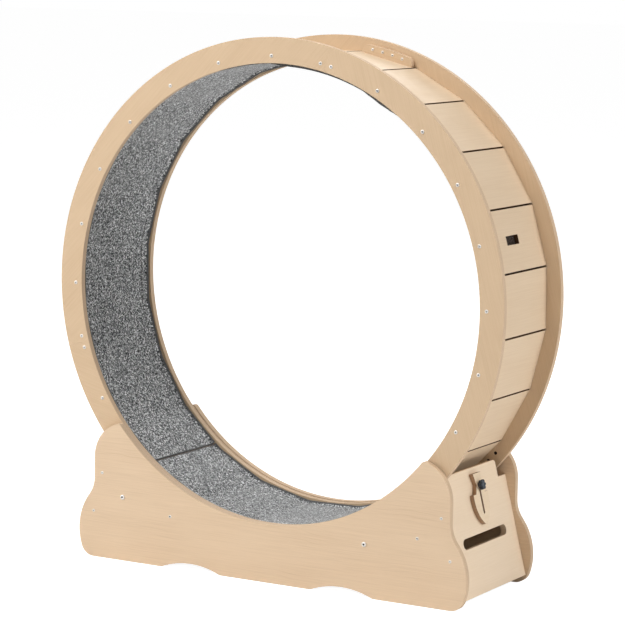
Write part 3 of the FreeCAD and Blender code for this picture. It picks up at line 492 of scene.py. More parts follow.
@dataclass(frozen=True)
class HardFinish:
    """Metal or moulded plastic with a faint uneven sheen; the colour is linear."""

    name: str
    color: tuple[float, float, float]
    worn: tuple[float, float, float]
    metallic: float
    rough_low: float
    rough_high: float
    # near black: painted shade inside a head's recess
    recess: tuple[float, float, float] = (0.055, 0.052, 0.050)

    def build(self, shelf: GroupShelf) -> bpy.types.Material:
        """Build the material on object coordinates; a head's recess attribute paints shade into it.

        Args:
            shelf: The shared groups.

        Returns:
            The material.
        """
        material, desk, shader = new_surface(self.name)
        place = desk.add("ShaderNodeTexCoord").outputs["Object"]
        handling = desk.feed(desk.add("ShaderNodeGroup", node_tree=shelf.handling), Place=place, Size=90.0)
        fine = desk.noise(place, 1400.0, 2.0)
        bump = desk.feed(desk.add("ShaderNodeBump"), Height=fine, Strength=0.08, Distance=0.0002)
        recess = desk.add("ShaderNodeAttribute", attribute_name="recess").outputs["Fac"]
        color = desk.blend(handling.outputs["Smudge"], self.color, self.worn)
        # the recess attribute blends in the painted shade colour
        desk.feed(shader, Base_Color=desk.blend(recess, color, self.recess),
                  Roughness=desk.remap(handling.outputs["Gloss"], 0.3, 0.7, self.rough_low, self.rough_high),
                  Normal=bump.outputs[0])
        shader.inputs["Metallic"].default_value = self.metallic
        return material


class Finishes:
    """Every finish of the wheel, built once."""

    def __init__(self) -> None:
        """Build the groups and the materials."""
        shelf = GroupShelf()
        self.ring = PlywoodFinish("ring_veneer", (0.636, 0.466, 0.302), (0.540, 0.376, 0.228),
                                  figure=0.22, line_pitch=0.009).build(shelf)
        # the slats' edge colours are near black: painted shade in the gaps between slats, not the plies' own
        # colour
        self.slat = PlywoodFinish("slat_veneer", (0.790, 0.620, 0.440), (0.700, 0.525, 0.355), figure=0.08,
                                  line_pitch=0.02, edge_light=(0.125, 0.062, 0.030),
                                  edge_dark=(0.070, 0.034, 0.016), gloss=0.12).build(shelf)
        self.panel = PlywoodFinish("panel_veneer", (0.725, 0.545, 0.372), (0.600, 0.430, 0.280),
                                   figure=0.42, line_pitch=0.0085).build(shelf)
        self.end = PlywoodFinish("end_veneer", (0.930, 0.752, 0.560), (0.850, 0.668, 0.468),
                                 figure=0.08, line_pitch=0.02).build(shelf)
        self.plate = PlywoodFinish("plate_veneer", (0.900, 0.725, 0.520), (0.820, 0.635, 0.430), figure=0.08,
                                   line_pitch=0.02, edge_light=(0.420, 0.270, 0.165),
                                   edge_dark=(0.300, 0.185, 0.110)).build(shelf)
        self.carpet = CarpetFinish().build(shelf)
        self.steel = HardFinish("bright_steel", (0.72, 0.69, 0.66), (0.58, 0.56, 0.54), 1.0,
                                0.30, 0.42).build(shelf)
        self.knob = HardFinish("dark_plastic", (0.018, 0.026, 0.040), (0.030, 0.040, 0.055), 0.0,
                               0.32, 0.48).build(shelf)


# ------------------------------------------------------------------------- outlines of boards


def arc(centre: Point, radius: float, start: float, end: float, pitch: float = 2.0) -> Loop:
    """Points along an arc.

    Args:
        centre: The arc's centre.
        radius: Its radius.
        start: Its first angle in degrees, from +X towards +Y.
        end: Its last angle.
        pitch: About how many degrees lie between two points.

    Returns:
        The points, both ends included.
    """
    count = max(2, math.ceil(abs(end - start) / pitch))
    turns = [math.radians(start + (end - start) * step / count) for step in range(count + 1)]
    return [(centre[0] + radius * math.cos(turn), centre[1] + radius * math.sin(turn)) for turn in turns]


def arc_between(centre: Point, start: Point, end: Point, clockwise: bool, pitch: float = 3.0) -> Loop:
    """Points of the arc about a centre from one point to another.

    Args:
        centre: The arc's centre.
        start: Its first point, which sets the radius.
        end: A point in the direction of its last one.
        clockwise: Which way round it runs.
        pitch: About how many degrees lie between two points.

    Returns:
        The points, both ends included.
    """
    first = math.degrees(math.atan2(start[1] - centre[1], start[0] - centre[0]))
    last = math.degrees(math.atan2(end[1] - centre[1], end[0] - centre[0]))
    sweep = (first - last) % 360 if clockwise else (last - first) % 360
    return arc(centre, math.dist(centre, start), first, first - sweep if clockwise else first + sweep, pitch)


def arc_through(start: Point, middle: Point, end: Point) -> Loop:
    """Points of the arc through three points.

    Args:
        start: Its first point.
        middle: A point on its way.
        end: Its last point.

    Returns:
        The points, both ends included.
    """
    (ax, ay), (bx, by), (cx, cy) = start, middle, end
    twice = 2 * (ax * (by - cy) + bx * (cy - ay) + cx * (ay - by))
    squares = [x * x + y * y for x, y in (start, middle, end)]
    centre = ((squares[0] * (by - cy) + squares[1] * (cy - ay) + squares[2] * (ay - by)) / twice,
              (squares[0] * (cx - bx) + squares[1] * (ax - cx) + squares[2] * (bx - ax)) / twice)
    return arc_between(centre, start, end, clockwise=twice < 0)


def circle(centre: Point, radius: float, count: int = 24) -> Loop:
    """Points of a full circle."""
    return arc(centre, radius, 0.0, 360.0, 360.0 / count)[:-1]


def area(loop: Loop) -> float:
    """The signed area of a loop, positive where it runs anticlockwise."""
    return sum(a[0] * b[1] - b[0] * a[1] for a, b in zip(loop, loop[1:] + loop[:1])) / 2


def without_repeats(loop: Loop) -> Loop:
    """Drop points that repeat the one before them."""
    return [point for index, point in enumerate(loop) if math.dist(point, loop[index - 1]) > 1e-6]


def softened(loop: Loop, radius: float) -> Loop:
    """Round the sharp corners of a loop.

    Args:
        loop: The corners in order.
        radius: The radius of each rounding, less where an edge is short.

    Returns:
        The rounded loop.
    """
    loop = without_repeats(loop)
    result: Loop = []
    for index, here in enumerate(loop):
        before, after = Vector(loop[index - 1]), Vector(loop[(index + 1) % len(loop)])
        spot = Vector(here)
        back, ahead = before - spot, after - spot
        turn = math.pi - back.angle(ahead)
        if turn < CORNER_LIMIT:
            result.append(here)
            continue
        reach = min(radius * math.tan(turn / 2), 0.45 * back.length, 0.45 * ahead.length)
        start, end = spot + back.normalized() * reach, spot + ahead.normalized() * reach
        for step in range(5):
            share = step / 4
            bow = start.lerp(spot, share).lerp(spot.lerp(end, share), share)
            result.append((bow.x, bow.y))
    return result


@dataclass
class Pit:
    """A blind round hole in one face of a board."""

    centre: Point
    radius: float
    depth: float
    side: int


@dataclass
class Board:
    """A flat board: an outline in its own plane, holes, and the way its grain runs."""

    outline: Loop
    thickness: float
    holes: list[Loop] = field(default_factory=list)
    pits: list[Pit] = field(default_factory=list)
    grain_turn: float = 0.0
    arris: float = 0.4 * MM

    def mesh(self, name: str, place: Matrix, seed: int) -> bpy.types.Object:
        """Build the board with eased arrises.

        Args:
            name: The piece's name.
            place: Where the board's plane and thickness axis lie in the frame.
            seed: A number that shifts its grain away from the other boards'.

        Returns:
            The piece.
        """
        sheet = SheetMesh()
        half = self.thickness / 2
        loops = [self.outline if area(self.outline) > 0 else self.outline[::-1]]
        loops += [hole if area(hole) < 0 else hole[::-1] for hole in self.holes]
        caps: dict[int, list[list[int]]] = {1: [], -1: []}
        for loop in loops:
            rings = sheet.wall(softened(loop, 1.5 * self.arris), self.profile(half, -half))
            caps[1].append(rings[0])
            caps[-1].append(rings[-1])
        for pit in self.pits:
            profile = self.profile(half, half - pit.depth)[:4]
            profile[3] = (0.0, half - pit.depth, 0.0)
            rim = circle(pit.centre, pit.radius, PIT_SIDES)[::-1]
            turned = [(inset, pit.side * height, pit.side * tilt) for inset, height, tilt in profile]
            rings = sheet.wall(rim, turned, flip=pit.side < 0)
            caps[pit.side].append(rings[0])
            # the walls inside a blind hole are marked for painted shade
            for index in rings[2] + rings[3]:
                sheet.walls[index] = HOLLOW
            sheet.floor(rings[-1], pit.side)
        for side, rings in caps.items():
            sheet.cap(rings, side)
        return sheet.build(name, place, math.radians(self.grain_turn), seed)

    def profile(self, top: float, bottom: float) -> list[tuple[float, float, float]]:
        """The board's wall from one face to the other.

        Args:
            top: The first face's height.
            bottom: The other face's height.

        Returns:
            Insets, heights and normals' tilts.
        """
        arris, cut = self.arris, self.arris * (1 - math.sqrt(0.5))
        quarter, eighth = math.pi / 2, math.pi / 4
        return [(arris, top, quarter), (cut, top - cut, eighth), (0.0, top - arris, 0.0),
                (0.0, bottom + arris, 0.0), (cut, bottom + cut, -eighth), (arris, bottom, -quarter)]


class SheetMesh:
    """Collects the walls and caps of a flat board."""

    def __init__(self) -> None:
        """Start with nothing."""
        self.points: list[Vector] = []
        self.normals: list[Vector] = []
        self.walls: list[float] = []
        self.faces: list[tuple[int, ...]] = []

    def wall(self, loop: Loop, profile: Sequence[tuple[float, float, float]],
             flip: bool = False) -> list[list[int]]:
        """Sweep a profile round a loop whose material is on its left.

        Args:
            loop: The loop's points.
            profile: Insets into the material, heights and the normals' tilts.
            flip: Whether the profile runs upwards.

        Returns:
            The numbers of the points, one list for each line of the profile.
        """
        count = len(loop)
        outward = []
        for index in range(count):
            before, here, after = loop[index - 1], loop[index], loop[(index + 1) % count]
            normal = Vector((after[1] - before[1], before[0] - after[0])).normalized()
            sides = [Vector((b[1] - a[1], a[0] - b[0])) for a, b in ((before, here), (here, after))]
            total = sides[0] * sides[0].length + sides[1] * sides[1].length
            outward.append(total.normalized() if total.length > 0 else normal)
        rings = []
        for inset, height, tilt in profile:
            ring = []
            for (x, y), normal in zip(loop, outward):
                ring.append(len(self.points))
                self.points.append(Vector((x - normal.x * inset, y - normal.y * inset, height)))
                flat = math.cos(tilt)
                self.normals.append(Vector((normal.x * flat, normal.y * flat, math.sin(tilt))))
                self.walls.append(flat)
            rings.append(ring)
        for upper, lower in zip(rings, rings[1:]):
            for index in range(count):
                ahead = (index + 1) % count
                quad = (upper[index], lower[index], lower[ahead], upper[ahead])
                self.faces.append(quad[::-1] if flip else quad)
        return rings

    def cap(self, rings: Sequence[Sequence[int]], side: int) -> None:
        """Close a face of the board between its outline and its holes.

        Args:
            rings: The numbers of the points round the outline and round each hole.
            side: 1 for the upper face and -1 for the lower.
        """
        flat = [index for ring in rings for index in ring]
        outlines = [[self.points[index].to_2d().to_3d() for index in ring] for ring in rings]
        for corners in tessellate_polygon(outlines):
            triangle = [flat[corner] for corner in corners]
            first, second, third = (self.points[index] for index in triangle)
            upward = (second - first).cross(third - first).z > 0
            self.faces.append(tuple(triangle if upward == (side > 0) else triangle[::-1]))

    def floor(self, ring: Sequence[int], side: int) -> None:
        """Close the bottom of a blind hole."""
        self.faces.append(tuple(reversed(ring)) if side > 0 else tuple(ring))

    def build(self, name: str, place: Matrix, grain_turn: float, seed: int) -> bpy.types.Object:
        """Turn what was collected into a piece with its grain and wall attributes.

        Args:
            name: The piece's name.
            place: Where the board lies in the frame.
            grain_turn: The angle of the grain in the board's plane.
            seed: A number that shifts the grain.

        Returns:
            The piece.
        """
        spin = place.to_3x3()
        cos, sin = math.cos(grain_turn), math.sin(grain_turn)
        shift = GRAIN_SHIFT * seed
        grain = [Vector((p.x * cos + p.y * sin, p.y * cos - p.x * sin, p.z)) + shift for p in self.points]
        return make_piece(name, [place @ point for point in self.points], self.faces,
                          [spin @ normal for normal in self.normals], grain, {"wall": self.walls})


def make_piece(name: str, points: Sequence[Vector], faces: Sequence[Sequence[int]],
               normals: Sequence[Vector] | None, grain: Sequence[Vector] | None = None,
               masks: dict[str, Sequence[float]] | None = None) -> bpy.types.Object:
    """Make a mesh piece that lies in the frame.

    Args:
        name: The piece's name.
        points: Its points, in metres.
        faces: The numbers of each face's points.
        normals: Each point's normal, or None to let the mesh work them out.
        grain: Each point's place on the piece's own material.
        masks: Further values at each point, by name.

    Returns:
        The piece.
    """
    mesh = bpy.data.meshes.new(name)
    mesh.from_pydata([tuple(point) for point in points], [], [tuple(face) for face in faces])
    mesh.shade_smooth()
    if normals is not None:
        mesh.normals_split_custom_set_from_vertices([tuple(normal) for normal in normals])
    if grain is not None:
        layer = mesh.attributes.new("grain", "FLOAT_VECTOR", "POINT")
        layer.data.foreach_set("vector", [value for spot in grain for value in spot])
    for mask, values in (masks or {}).items():
        layer = mesh.attributes.new(mask, "FLOAT", "POINT")
        layer.data.foreach_set("value", list(values))
    piece = bpy.data.objects.new(name, mesh)
    bpy.context.scene.collection.objects.link(piece)
    return piece


def dress(piece: bpy.types.Object, material: bpy.types.Material, body: str, slot: Slot, *nodes: str) -> None:
    """Give a piece its finish, its body and the nodes that it stands for.

    Args:
        piece: The piece.
        material: Its finish.
        body: The body that it rides on.
        slot: The record's slot; not used.
        nodes: The CAD nodes that it replaces.
    """
    piece.data.materials.clear()
    piece.data.materials.append(material)
    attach(piece, body)
    if nodes:
        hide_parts(*nodes)
    LOG.info("%s rides on %s", piece.name, body)


def refinish(frame: dict, material: bpy.types.Material, *nodes: str) -> None:
    """Give CAD nodes that stay in view their finish.

    Args:
        material: The finish.
        nodes: The nodes' names.
    """
    for node in nodes:
        mesh = frame["nodes"][node].data
        mesh.materials.clear()
        mesh.materials.append(material)
        LOG.info("%s keeps its CAD shape", node)


# -------------------------------------------------------------------------------- fasteners


@dataclass(frozen=True)
class Head:
    """A screw or bolt head that stands on a face."""

    radius: float
    height: float
    recess: Recess
    recess_radius: float
    recess_depth: float
    dome: float = 0.35
    segments: int = 24

    def rings(self) -> list[tuple[Callable[[float], float], float]]:
        """The head from its foot over its crown into the recess.

        Returns:
            Each ring's radius at an angle, and its height.
        """
        rim = self.height * (1 - self.dome)
        rise = self.height * self.dome
        outer = [(self.radius, -0.4 * MM)]
        for share in (0.0, 0.35, 0.7, 1.0):
            outer.append((self.radius * (1 - 0.3 * share**2), rim + rise * math.sin(share * math.pi / 2)))
        rings: list[tuple[Callable[[float], float], float]] = [
            (lambda turn, radius=radius: radius, height) for radius, height in outer]
        recess = ((1.08, self.height), (1.0, self.height - 0.1 * MM), (0.9, self.height - self.recess_depth))
        for scale, height in recess:
            rings.append((lambda turn, scale=scale: scale * self.recess_reach(turn), height))
        return rings

    def recess_reach(self, turn: float) -> float:
        """How far the recess reaches from the axis.

        Args:
            turn: The angle about the axis, in radians.

        Returns:
            The distance.
        """
        if self.recess is Recess.HEXAGON:
            side = math.pi / 3
            return self.recess_radius * math.cos(side / 2) / math.cos((turn % side) - side / 2)
        wing = abs(math.cos(turn * self.recess.value / 2)) ** 6
        return self.recess_radius * (0.38 + 0.62 * wing)


def skin(start: int, levels: int, count: int) -> list[tuple[int, ...]]:
    """The faces round a stack of rings of points, with its last and its first ring closed.

    Args:
        start: The number of the stack's first point.
        levels: How many rings it has.
        count: How many points each ring has.

    Returns:
        The faces.
    """
    last = start + (levels - 1) * count
    faces: list[tuple[int, ...]] = []
    for low in range(start, last, count):
        for step in range(count):
            ahead = (step + 1) % count
            faces.append((low + step, low + ahead, low + count + ahead, low + count + step))
    return [*faces, tuple(range(last, last + count)), tuple(reversed(range(start, start + count)))]


def heads_piece(name: str, head: Head, places: Sequence[Matrix]) -> bpy.types.Object:
    """Make one piece of many equal heads.

    Args:
        name: The piece's name.
        head: The shape of one head.
        places: Where each head stands, its own +Z out of the face.

    Returns:
        The piece.
    """
    points: list[Vector] = []
    recess: list[float] = []
    faces: list[tuple[int, ...]] = []
    count = head.segments
    rings = head.rings()
    for number, place in enumerate(places):
        start = len(points)
        roll = number * HEAD_TWIST
        for level, (reach, height) in enumerate(rings):
            for step in range(count):
                turn = 2 * math.pi * step / count
                across, along = math.cos(turn + roll), math.sin(turn + roll)
                points.append(place @ Vector((reach(turn) * across, reach(turn) * along, height)))
                # the recess's walls and floor are marked for painted shade
                recess.append(1.0 if level >= len(rings) - 2 else 0.0)
        faces += skin(start, len(rings), count)
    piece = make_piece(name, points, faces, None, masks={"recess": recess})
    piece.data.set_sharp_from_angle(angle=math.radians(40))
    return piece


def standing(place: Vector, way: Vector) -> Matrix:
    """The placement of something that stands at a place and points a way."""
    return Matrix.Translation(place) @ way.to_track_quat("Z", "Y").to_matrix().to_4x4()


# ---------------------------------------------------------------------------- sub-assemblies


@dataclass
class RunningWheel:
    """The wheel: two rings of three boards each, 24 slats and their screws; CarpetLining builds their lining.
    """

    axle_height: float = 0.565
    turn: float = 14.0
    outer_radius: float = 0.500
    inner_radius: float = 0.450
    board: float = 0.012
    half_width: float = 0.130
    segments: int = 3
    joint_gap: float = 0.0001
    spare_hole: tuple[float, float] = (0.0034, 0.009)
    slats: int = 24
    slat_reach: float = 0.4687
    slat_thickness: float = 0.009
    slat_gap: float = 0.0034
    ring_arris: float = 0.00012
    slat_arris: float = 0.0005
    lock_slat: int = 5
    lock_hole: tuple[float, float] = (0.0175, 0.050)
    screw_swing: float = 1.48
    splice_radius: float = 0.488
    splice_half_length: float = 0.057
    splice_corner: float = 0.012
    splice_circle: float = 0.480
    splice_turns: tuple[float, ...] = (-4.1, -1.37, 1.37, 4.1)
    slat_screw: Head = Head(0.0036, 0.0009, Recess.CROSS, 0.0021, 0.0008)
    splice_screw: Head = Head(0.0030, 0.0008, Recess.CROSS, 0.0017, 0.0007, segments=20)

    def hang(self, degrees: float, depth: float = 0.0) -> Matrix:
        """The placement of a piece turned about the axle; its Z points outward and its Y rearward."""
        turn = Matrix.Rotation(math.radians(degrees), 4, "Y")
        return Matrix.Translation((0.0, depth, self.axle_height)) @ turn

    @staticmethod
    def upright() -> Matrix:
        """Lay a board's plane across the axle, its first axis along X and its second along Z."""
        return Matrix(((1, 0, 0, 0), (0, 0, -1, 0), (0, 1, 0, 0), (0, 0, 0, 1)))

    def build(self, finishes: Finishes) -> None:
        """Build and dress every piece of the wheel.

        Args:
            finishes: The materials.
        """
        for side, name in ((-1, "front"), (1, "rear")):
            for index in range(self.segments):
                node = f"{name}_ring_{index + 1}"
                piece = self.ring_board(node + "_board", index, side)
                dress(piece, finishes.ring, "wheel", Slot.PLYWOOD, node)
            node = f"{name}_splice_plate"
            dress(self.splice(node + "_board", side), finishes.ring, "wheel", Slot.PLYWOOD, node)
            node = f"{name}_slat_screws"
            dress(self.slat_heads(node + "_heads", side), finishes.steel, "wheel", Slot.STEEL, node)
        for index in range(self.slats):
            node = f"slat_{index + 1:02d}"
            dress(self.slat(node + "_board", index), finishes.slat, "wheel", Slot.PLYWOOD, node)
        dress(self.splice_heads("splice_screws_heads"), finishes.steel, "wheel", Slot.STEEL, "splice_screws")

    def ring_board(self, name: str, index: int, side: int) -> bpy.types.Object:
        """One third of a ring.

        Args:
            name: The piece's name.
            index: Which third, from the joint near the top.
            side: -1 for the front ring and 1 for the rear one.

        Returns:
            The piece.
        """
        half = 180 / self.segments
        trim = math.degrees(self.joint_gap / 2 / self.outer_radius)
        low, high = 90 - half + trim, 90 + half - trim
        outline = arc((0, 0), self.outer_radius, low, high, 1.0)
        outline += arc((0, 0), self.inner_radius, high, low, 1.0)
        pits = []
        for offset in self.splice_turns:
            turn = math.radians(90 - half * math.copysign(1, offset) + offset)
            centre = (self.splice_circle * math.cos(turn), self.splice_circle * math.sin(turn))
            pits.append(Pit(centre, *self.spare_hole, side))
        board = Board(outline, self.board, pits=pits, arris=self.ring_arris)
        place = self.hang(self.turn + (index + 0.5) * 2 * half, side * (self.half_width - self.board / 2))
        return board.mesh(name, place @ self.upright(), RING_GRAIN + 3 * index + side)

    def slat(self, name: str, index: int) -> bpy.types.Object:
        """One slat, lying along the axle.

        Args:
            name: The piece's name.
            index: Which slat, from the joint near the top.

        Returns:
            The piece.
        """
        half_turn = math.pi / self.slats
        half_width = self.slat_reach * math.tan(half_turn) - self.slat_gap / 2
        half_length = self.half_width - self.board
        outline = [(-half_width, -half_length), (half_width, -half_length),
                   (half_width, half_length), (-half_width, half_length)]
        holes = []
        if index + 1 == self.lock_slat:
            across, along = self.lock_hole[0] / 2, self.lock_hole[1] / 2
            holes.append([(-across, -along), (across, -along), (across, along), (-across, along)])
        board = Board(outline, self.slat_thickness, holes=holes, grain_turn=90.0, arris=self.slat_arris)
        middle = Matrix.Translation((0.0, 0.0, self.slat_reach - self.slat_thickness / 2))
        return board.mesh(name, self.hang(self.turn + 360 * index / self.slats) @ middle, SLAT_GRAIN + index)

    def splice(self, name: str, side: int) -> bpy.types.Object:
        """The plate over a ring joint, standing on the slat.

        Args:
            name: The piece's name.
            side: -1 at the front and 1 at the rear.

        Returns:
            The piece.
        """
        half, corner = self.splice_half_length, self.splice_corner
        rise = math.sqrt((self.splice_radius - corner)**2 - (half - corner)**2)
        right, left = (half - corner, rise), (corner - half, rise)
        shoulder = tuple(value * self.splice_radius / (self.splice_radius - corner) for value in right)
        outline = [(-half, self.slat_reach), (half, self.slat_reach)]
        outline += arc_between(right, (half, rise), shoulder, False, 8)
        outline += arc_between((0, 0), shoulder, (-shoulder[0], shoulder[1]), False, 1.0)
        outline += arc_between(left, (-shoulder[0], shoulder[1]), (-half, rise), False, 8)
        place = self.hang(self.turn, side * (self.half_width - 1.5 * self.board))
        return Board(outline, self.board).mesh(name, place @ self.upright(), SPLICE_GRAIN + side)

    def slat_heads(self, name: str, side: int) -> bpy.types.Object:
        """The heads of the screws through one ring into the slats.

        Args:
            name: The piece's name.
            side: -1 at the front and 1 at the rear.

        Returns:
            The piece.
        """
        circle_radius = self.slat_reach - self.slat_thickness / 2
        per_segment = self.slats // self.segments
        places = []
        for index in range(self.slats):
            offsets = (-self.screw_swing, self.screw_swing) if index % per_segment == 0 else (0.0,)
            for offset in offsets:
                turn = self.turn + 360 * index / self.slats + offset
                place = self.hang(turn) @ Vector((0, 0, circle_radius))
                place.y = side * self.half_width
                places.append(standing(place, Vector((0, side, 0))))
        return heads_piece(name, self.slat_screw, places)

    def splice_heads(self, name: str) -> bpy.types.Object:
        """The heads of the screws in both splice plates.

        Args:
            name: The piece's name.

        Returns:
            The piece.
        """
        places = []
        for side in (-1, 1):
            for offset in self.splice_turns:
                place = self.hang(self.turn + offset) @ Vector((0, 0, self.splice_circle))
                place.y = side * (self.half_width - 2 * self.board)
                places.append(standing(place, Vector((0, -side, 0))))
        return heads_piece(name, self.splice_screw, places)


@dataclass
class CarpetLining:
    """The carpet strip inside the slats, which sags off them over a stretch near the top."""

    wheel: RunningWheel
    half_width: float = 0.115
    thickness: float = 0.004
    seam_turn: float = -141.7
    seam_gap: float = 0.0028
    pitch: float = 0.0029
    sag: tuple[tuple[float, float], ...] = ((-19.0, -0.0057), (-14.0, -0.0035), (-3.0, -0.0033), (1.0, 0.0006),
                                            (4.0, 0.0014), (24.5, 0.0014), (27.0, 0.0035), (30.4, 0.0051),
                                            (33.3, 0.0038), (35.2, 0.0018), (37.5, -0.0016), (43.0, -0.0057))
    # the raised dark binding along both edges; its dark colour is partly painted shade between the carpet and
    # the rings
    binding: float = 0.0032
    binding_height: float = 0.0046
    tufts: tuple[tuple[float, float, float], ...] = ((0.00055, 260.0, 3.1), (0.00035, 60.0, 8.7))
    corner_ease: float = 0.9
    stitch_line: float = 0.095
    stitch_length: float = 0.0065
    stitch_sink: float = 0.0007
    stitch_rest: float = 0.35
    stitch_level: float = -0.2

    def face_radius(self, degrees: float) -> float:
        """The radius of the running face at an angle of the wheel.

        Args:
            degrees: The angle from the top towards +X.

        Returns:
            The radius.
        """
        flat = self.wheel.slat_reach - self.wheel.slat_thickness - self.thickness
        pitch = 360 / self.wheel.slats
        off = abs((degrees - self.wheel.turn + pitch / 2) % pitch - pitch / 2)
        eased = pitch / 2 - math.hypot(pitch / 2 - off, self.corner_ease)
        lying = flat / math.cos(math.radians(max(eased, 0.0)))
        turn = (degrees + 180) % 360 - 180
        if not self.sag[0][0] < turn < self.sag[-1][0]:
            return lying
        for (start, low), (end, high) in zip(self.sag, self.sag[1:]):
            if start <= turn <= end:
                share = (turn - start) / (end - start)
                smooth = share * share * (3 - 2 * share)
                return min(lying, self.wheel.inner_radius - low - (high - low) * smooth)
        return lying

    def build(self, finishes: Finishes) -> None:
        """Build and dress the strip.

        Args:
            finishes: The materials.
        """
        radius = self.wheel.inner_radius
        gap = math.degrees(self.seam_gap / radius)
        around = round(2 * math.pi * radius / self.pitch)
        across = round(2 * self.half_width / self.pitch)
        points, grain, walls, stitch_and_shade_marks = [], [], [], []
        faces: list[tuple[int, ...]] = []
        for row in range(around + 1):
            degrees = self.seam_turn + gap / 2 + (360 - gap) * row / around
            place = self.wheel.hang(degrees)
            lying = self.face_radius(degrees)
            length = math.radians(degrees) * radius
            for column in range(across + 1):
                depth = -self.half_width + 2 * self.half_width * column / across
                pile, stitch_and_shade = self.pile(length, depth)
                points.append(place @ Vector((0, depth, lying - pile)))
                grain.append(Vector((length, depth, 0.0)))
                walls.append(0.0)
                # the first and last rows take the thread colour: painted shade at the seam
                stitch_and_shade_marks.append(1.0 if row in (0, around) else stitch_and_shade)
            # the points at the strip's back carry the wall mask, which paints shade on its sides and back
            for depth in (self.half_width, -self.half_width):
                points.append(place @ Vector((0, depth, lying + self.thickness)))
                grain.append(Vector((length, depth, 0.0)))
                walls.append(1.0)
                stitch_and_shade_marks.append(0.0)
        width = across + 3
        for row in range(around):
            for column in range(width):
                ahead = (column + 1) % width
                here, there = row * width, (row + 1) * width
                faces.append((here + column, there + column, there + ahead, here + ahead))
        faces.append(tuple(range(width)))
        faces.append(tuple(around * width + column for column in reversed(range(width))))
        piece = make_piece("carpet_pile", points, faces, None, grain, {"wall": walls, "stitch_and_shade": stitch_and_shade_marks})
        piece.data.set_sharp_from_angle(angle=math.radians(60))
        dress(piece, finishes.carpet, "wheel", Slot.CARPET, "carpet")

    def pile(self, length: float, depth: float) -> tuple[float, float]:
        """How the strip's surface is at a place on it.

        Args:
            length: How far round the wheel the place is.
            depth: How far rearward it is.

        Returns:
            How far it stands up, and how much dark thread and binding shows; the binding's dark is partly
            painted shade.
        """
        tuft = 0.0
        for height, scale, level in self.tufts:
            tuft += height * noise.noise(Vector((length * scale, depth * scale, level)))
        bound = min(1.0, max(0.0, 2 - (self.half_width - abs(depth)) / self.binding))
        stitch_and_shade = 1.0 if abs(depth - self.stitch_line) < 0.6 * self.pitch else 0.0
        if stitch_and_shade:
            shows = math.sin(2 * math.pi * length / self.stitch_length) > self.stitch_level
            stitch_and_shade = 1.0 if shows else self.stitch_rest
        return tuft * (1 - bound) + self.binding_height * bound - self.stitch_sink * stitch_and_shade, max(stitch_and_shade, bound)


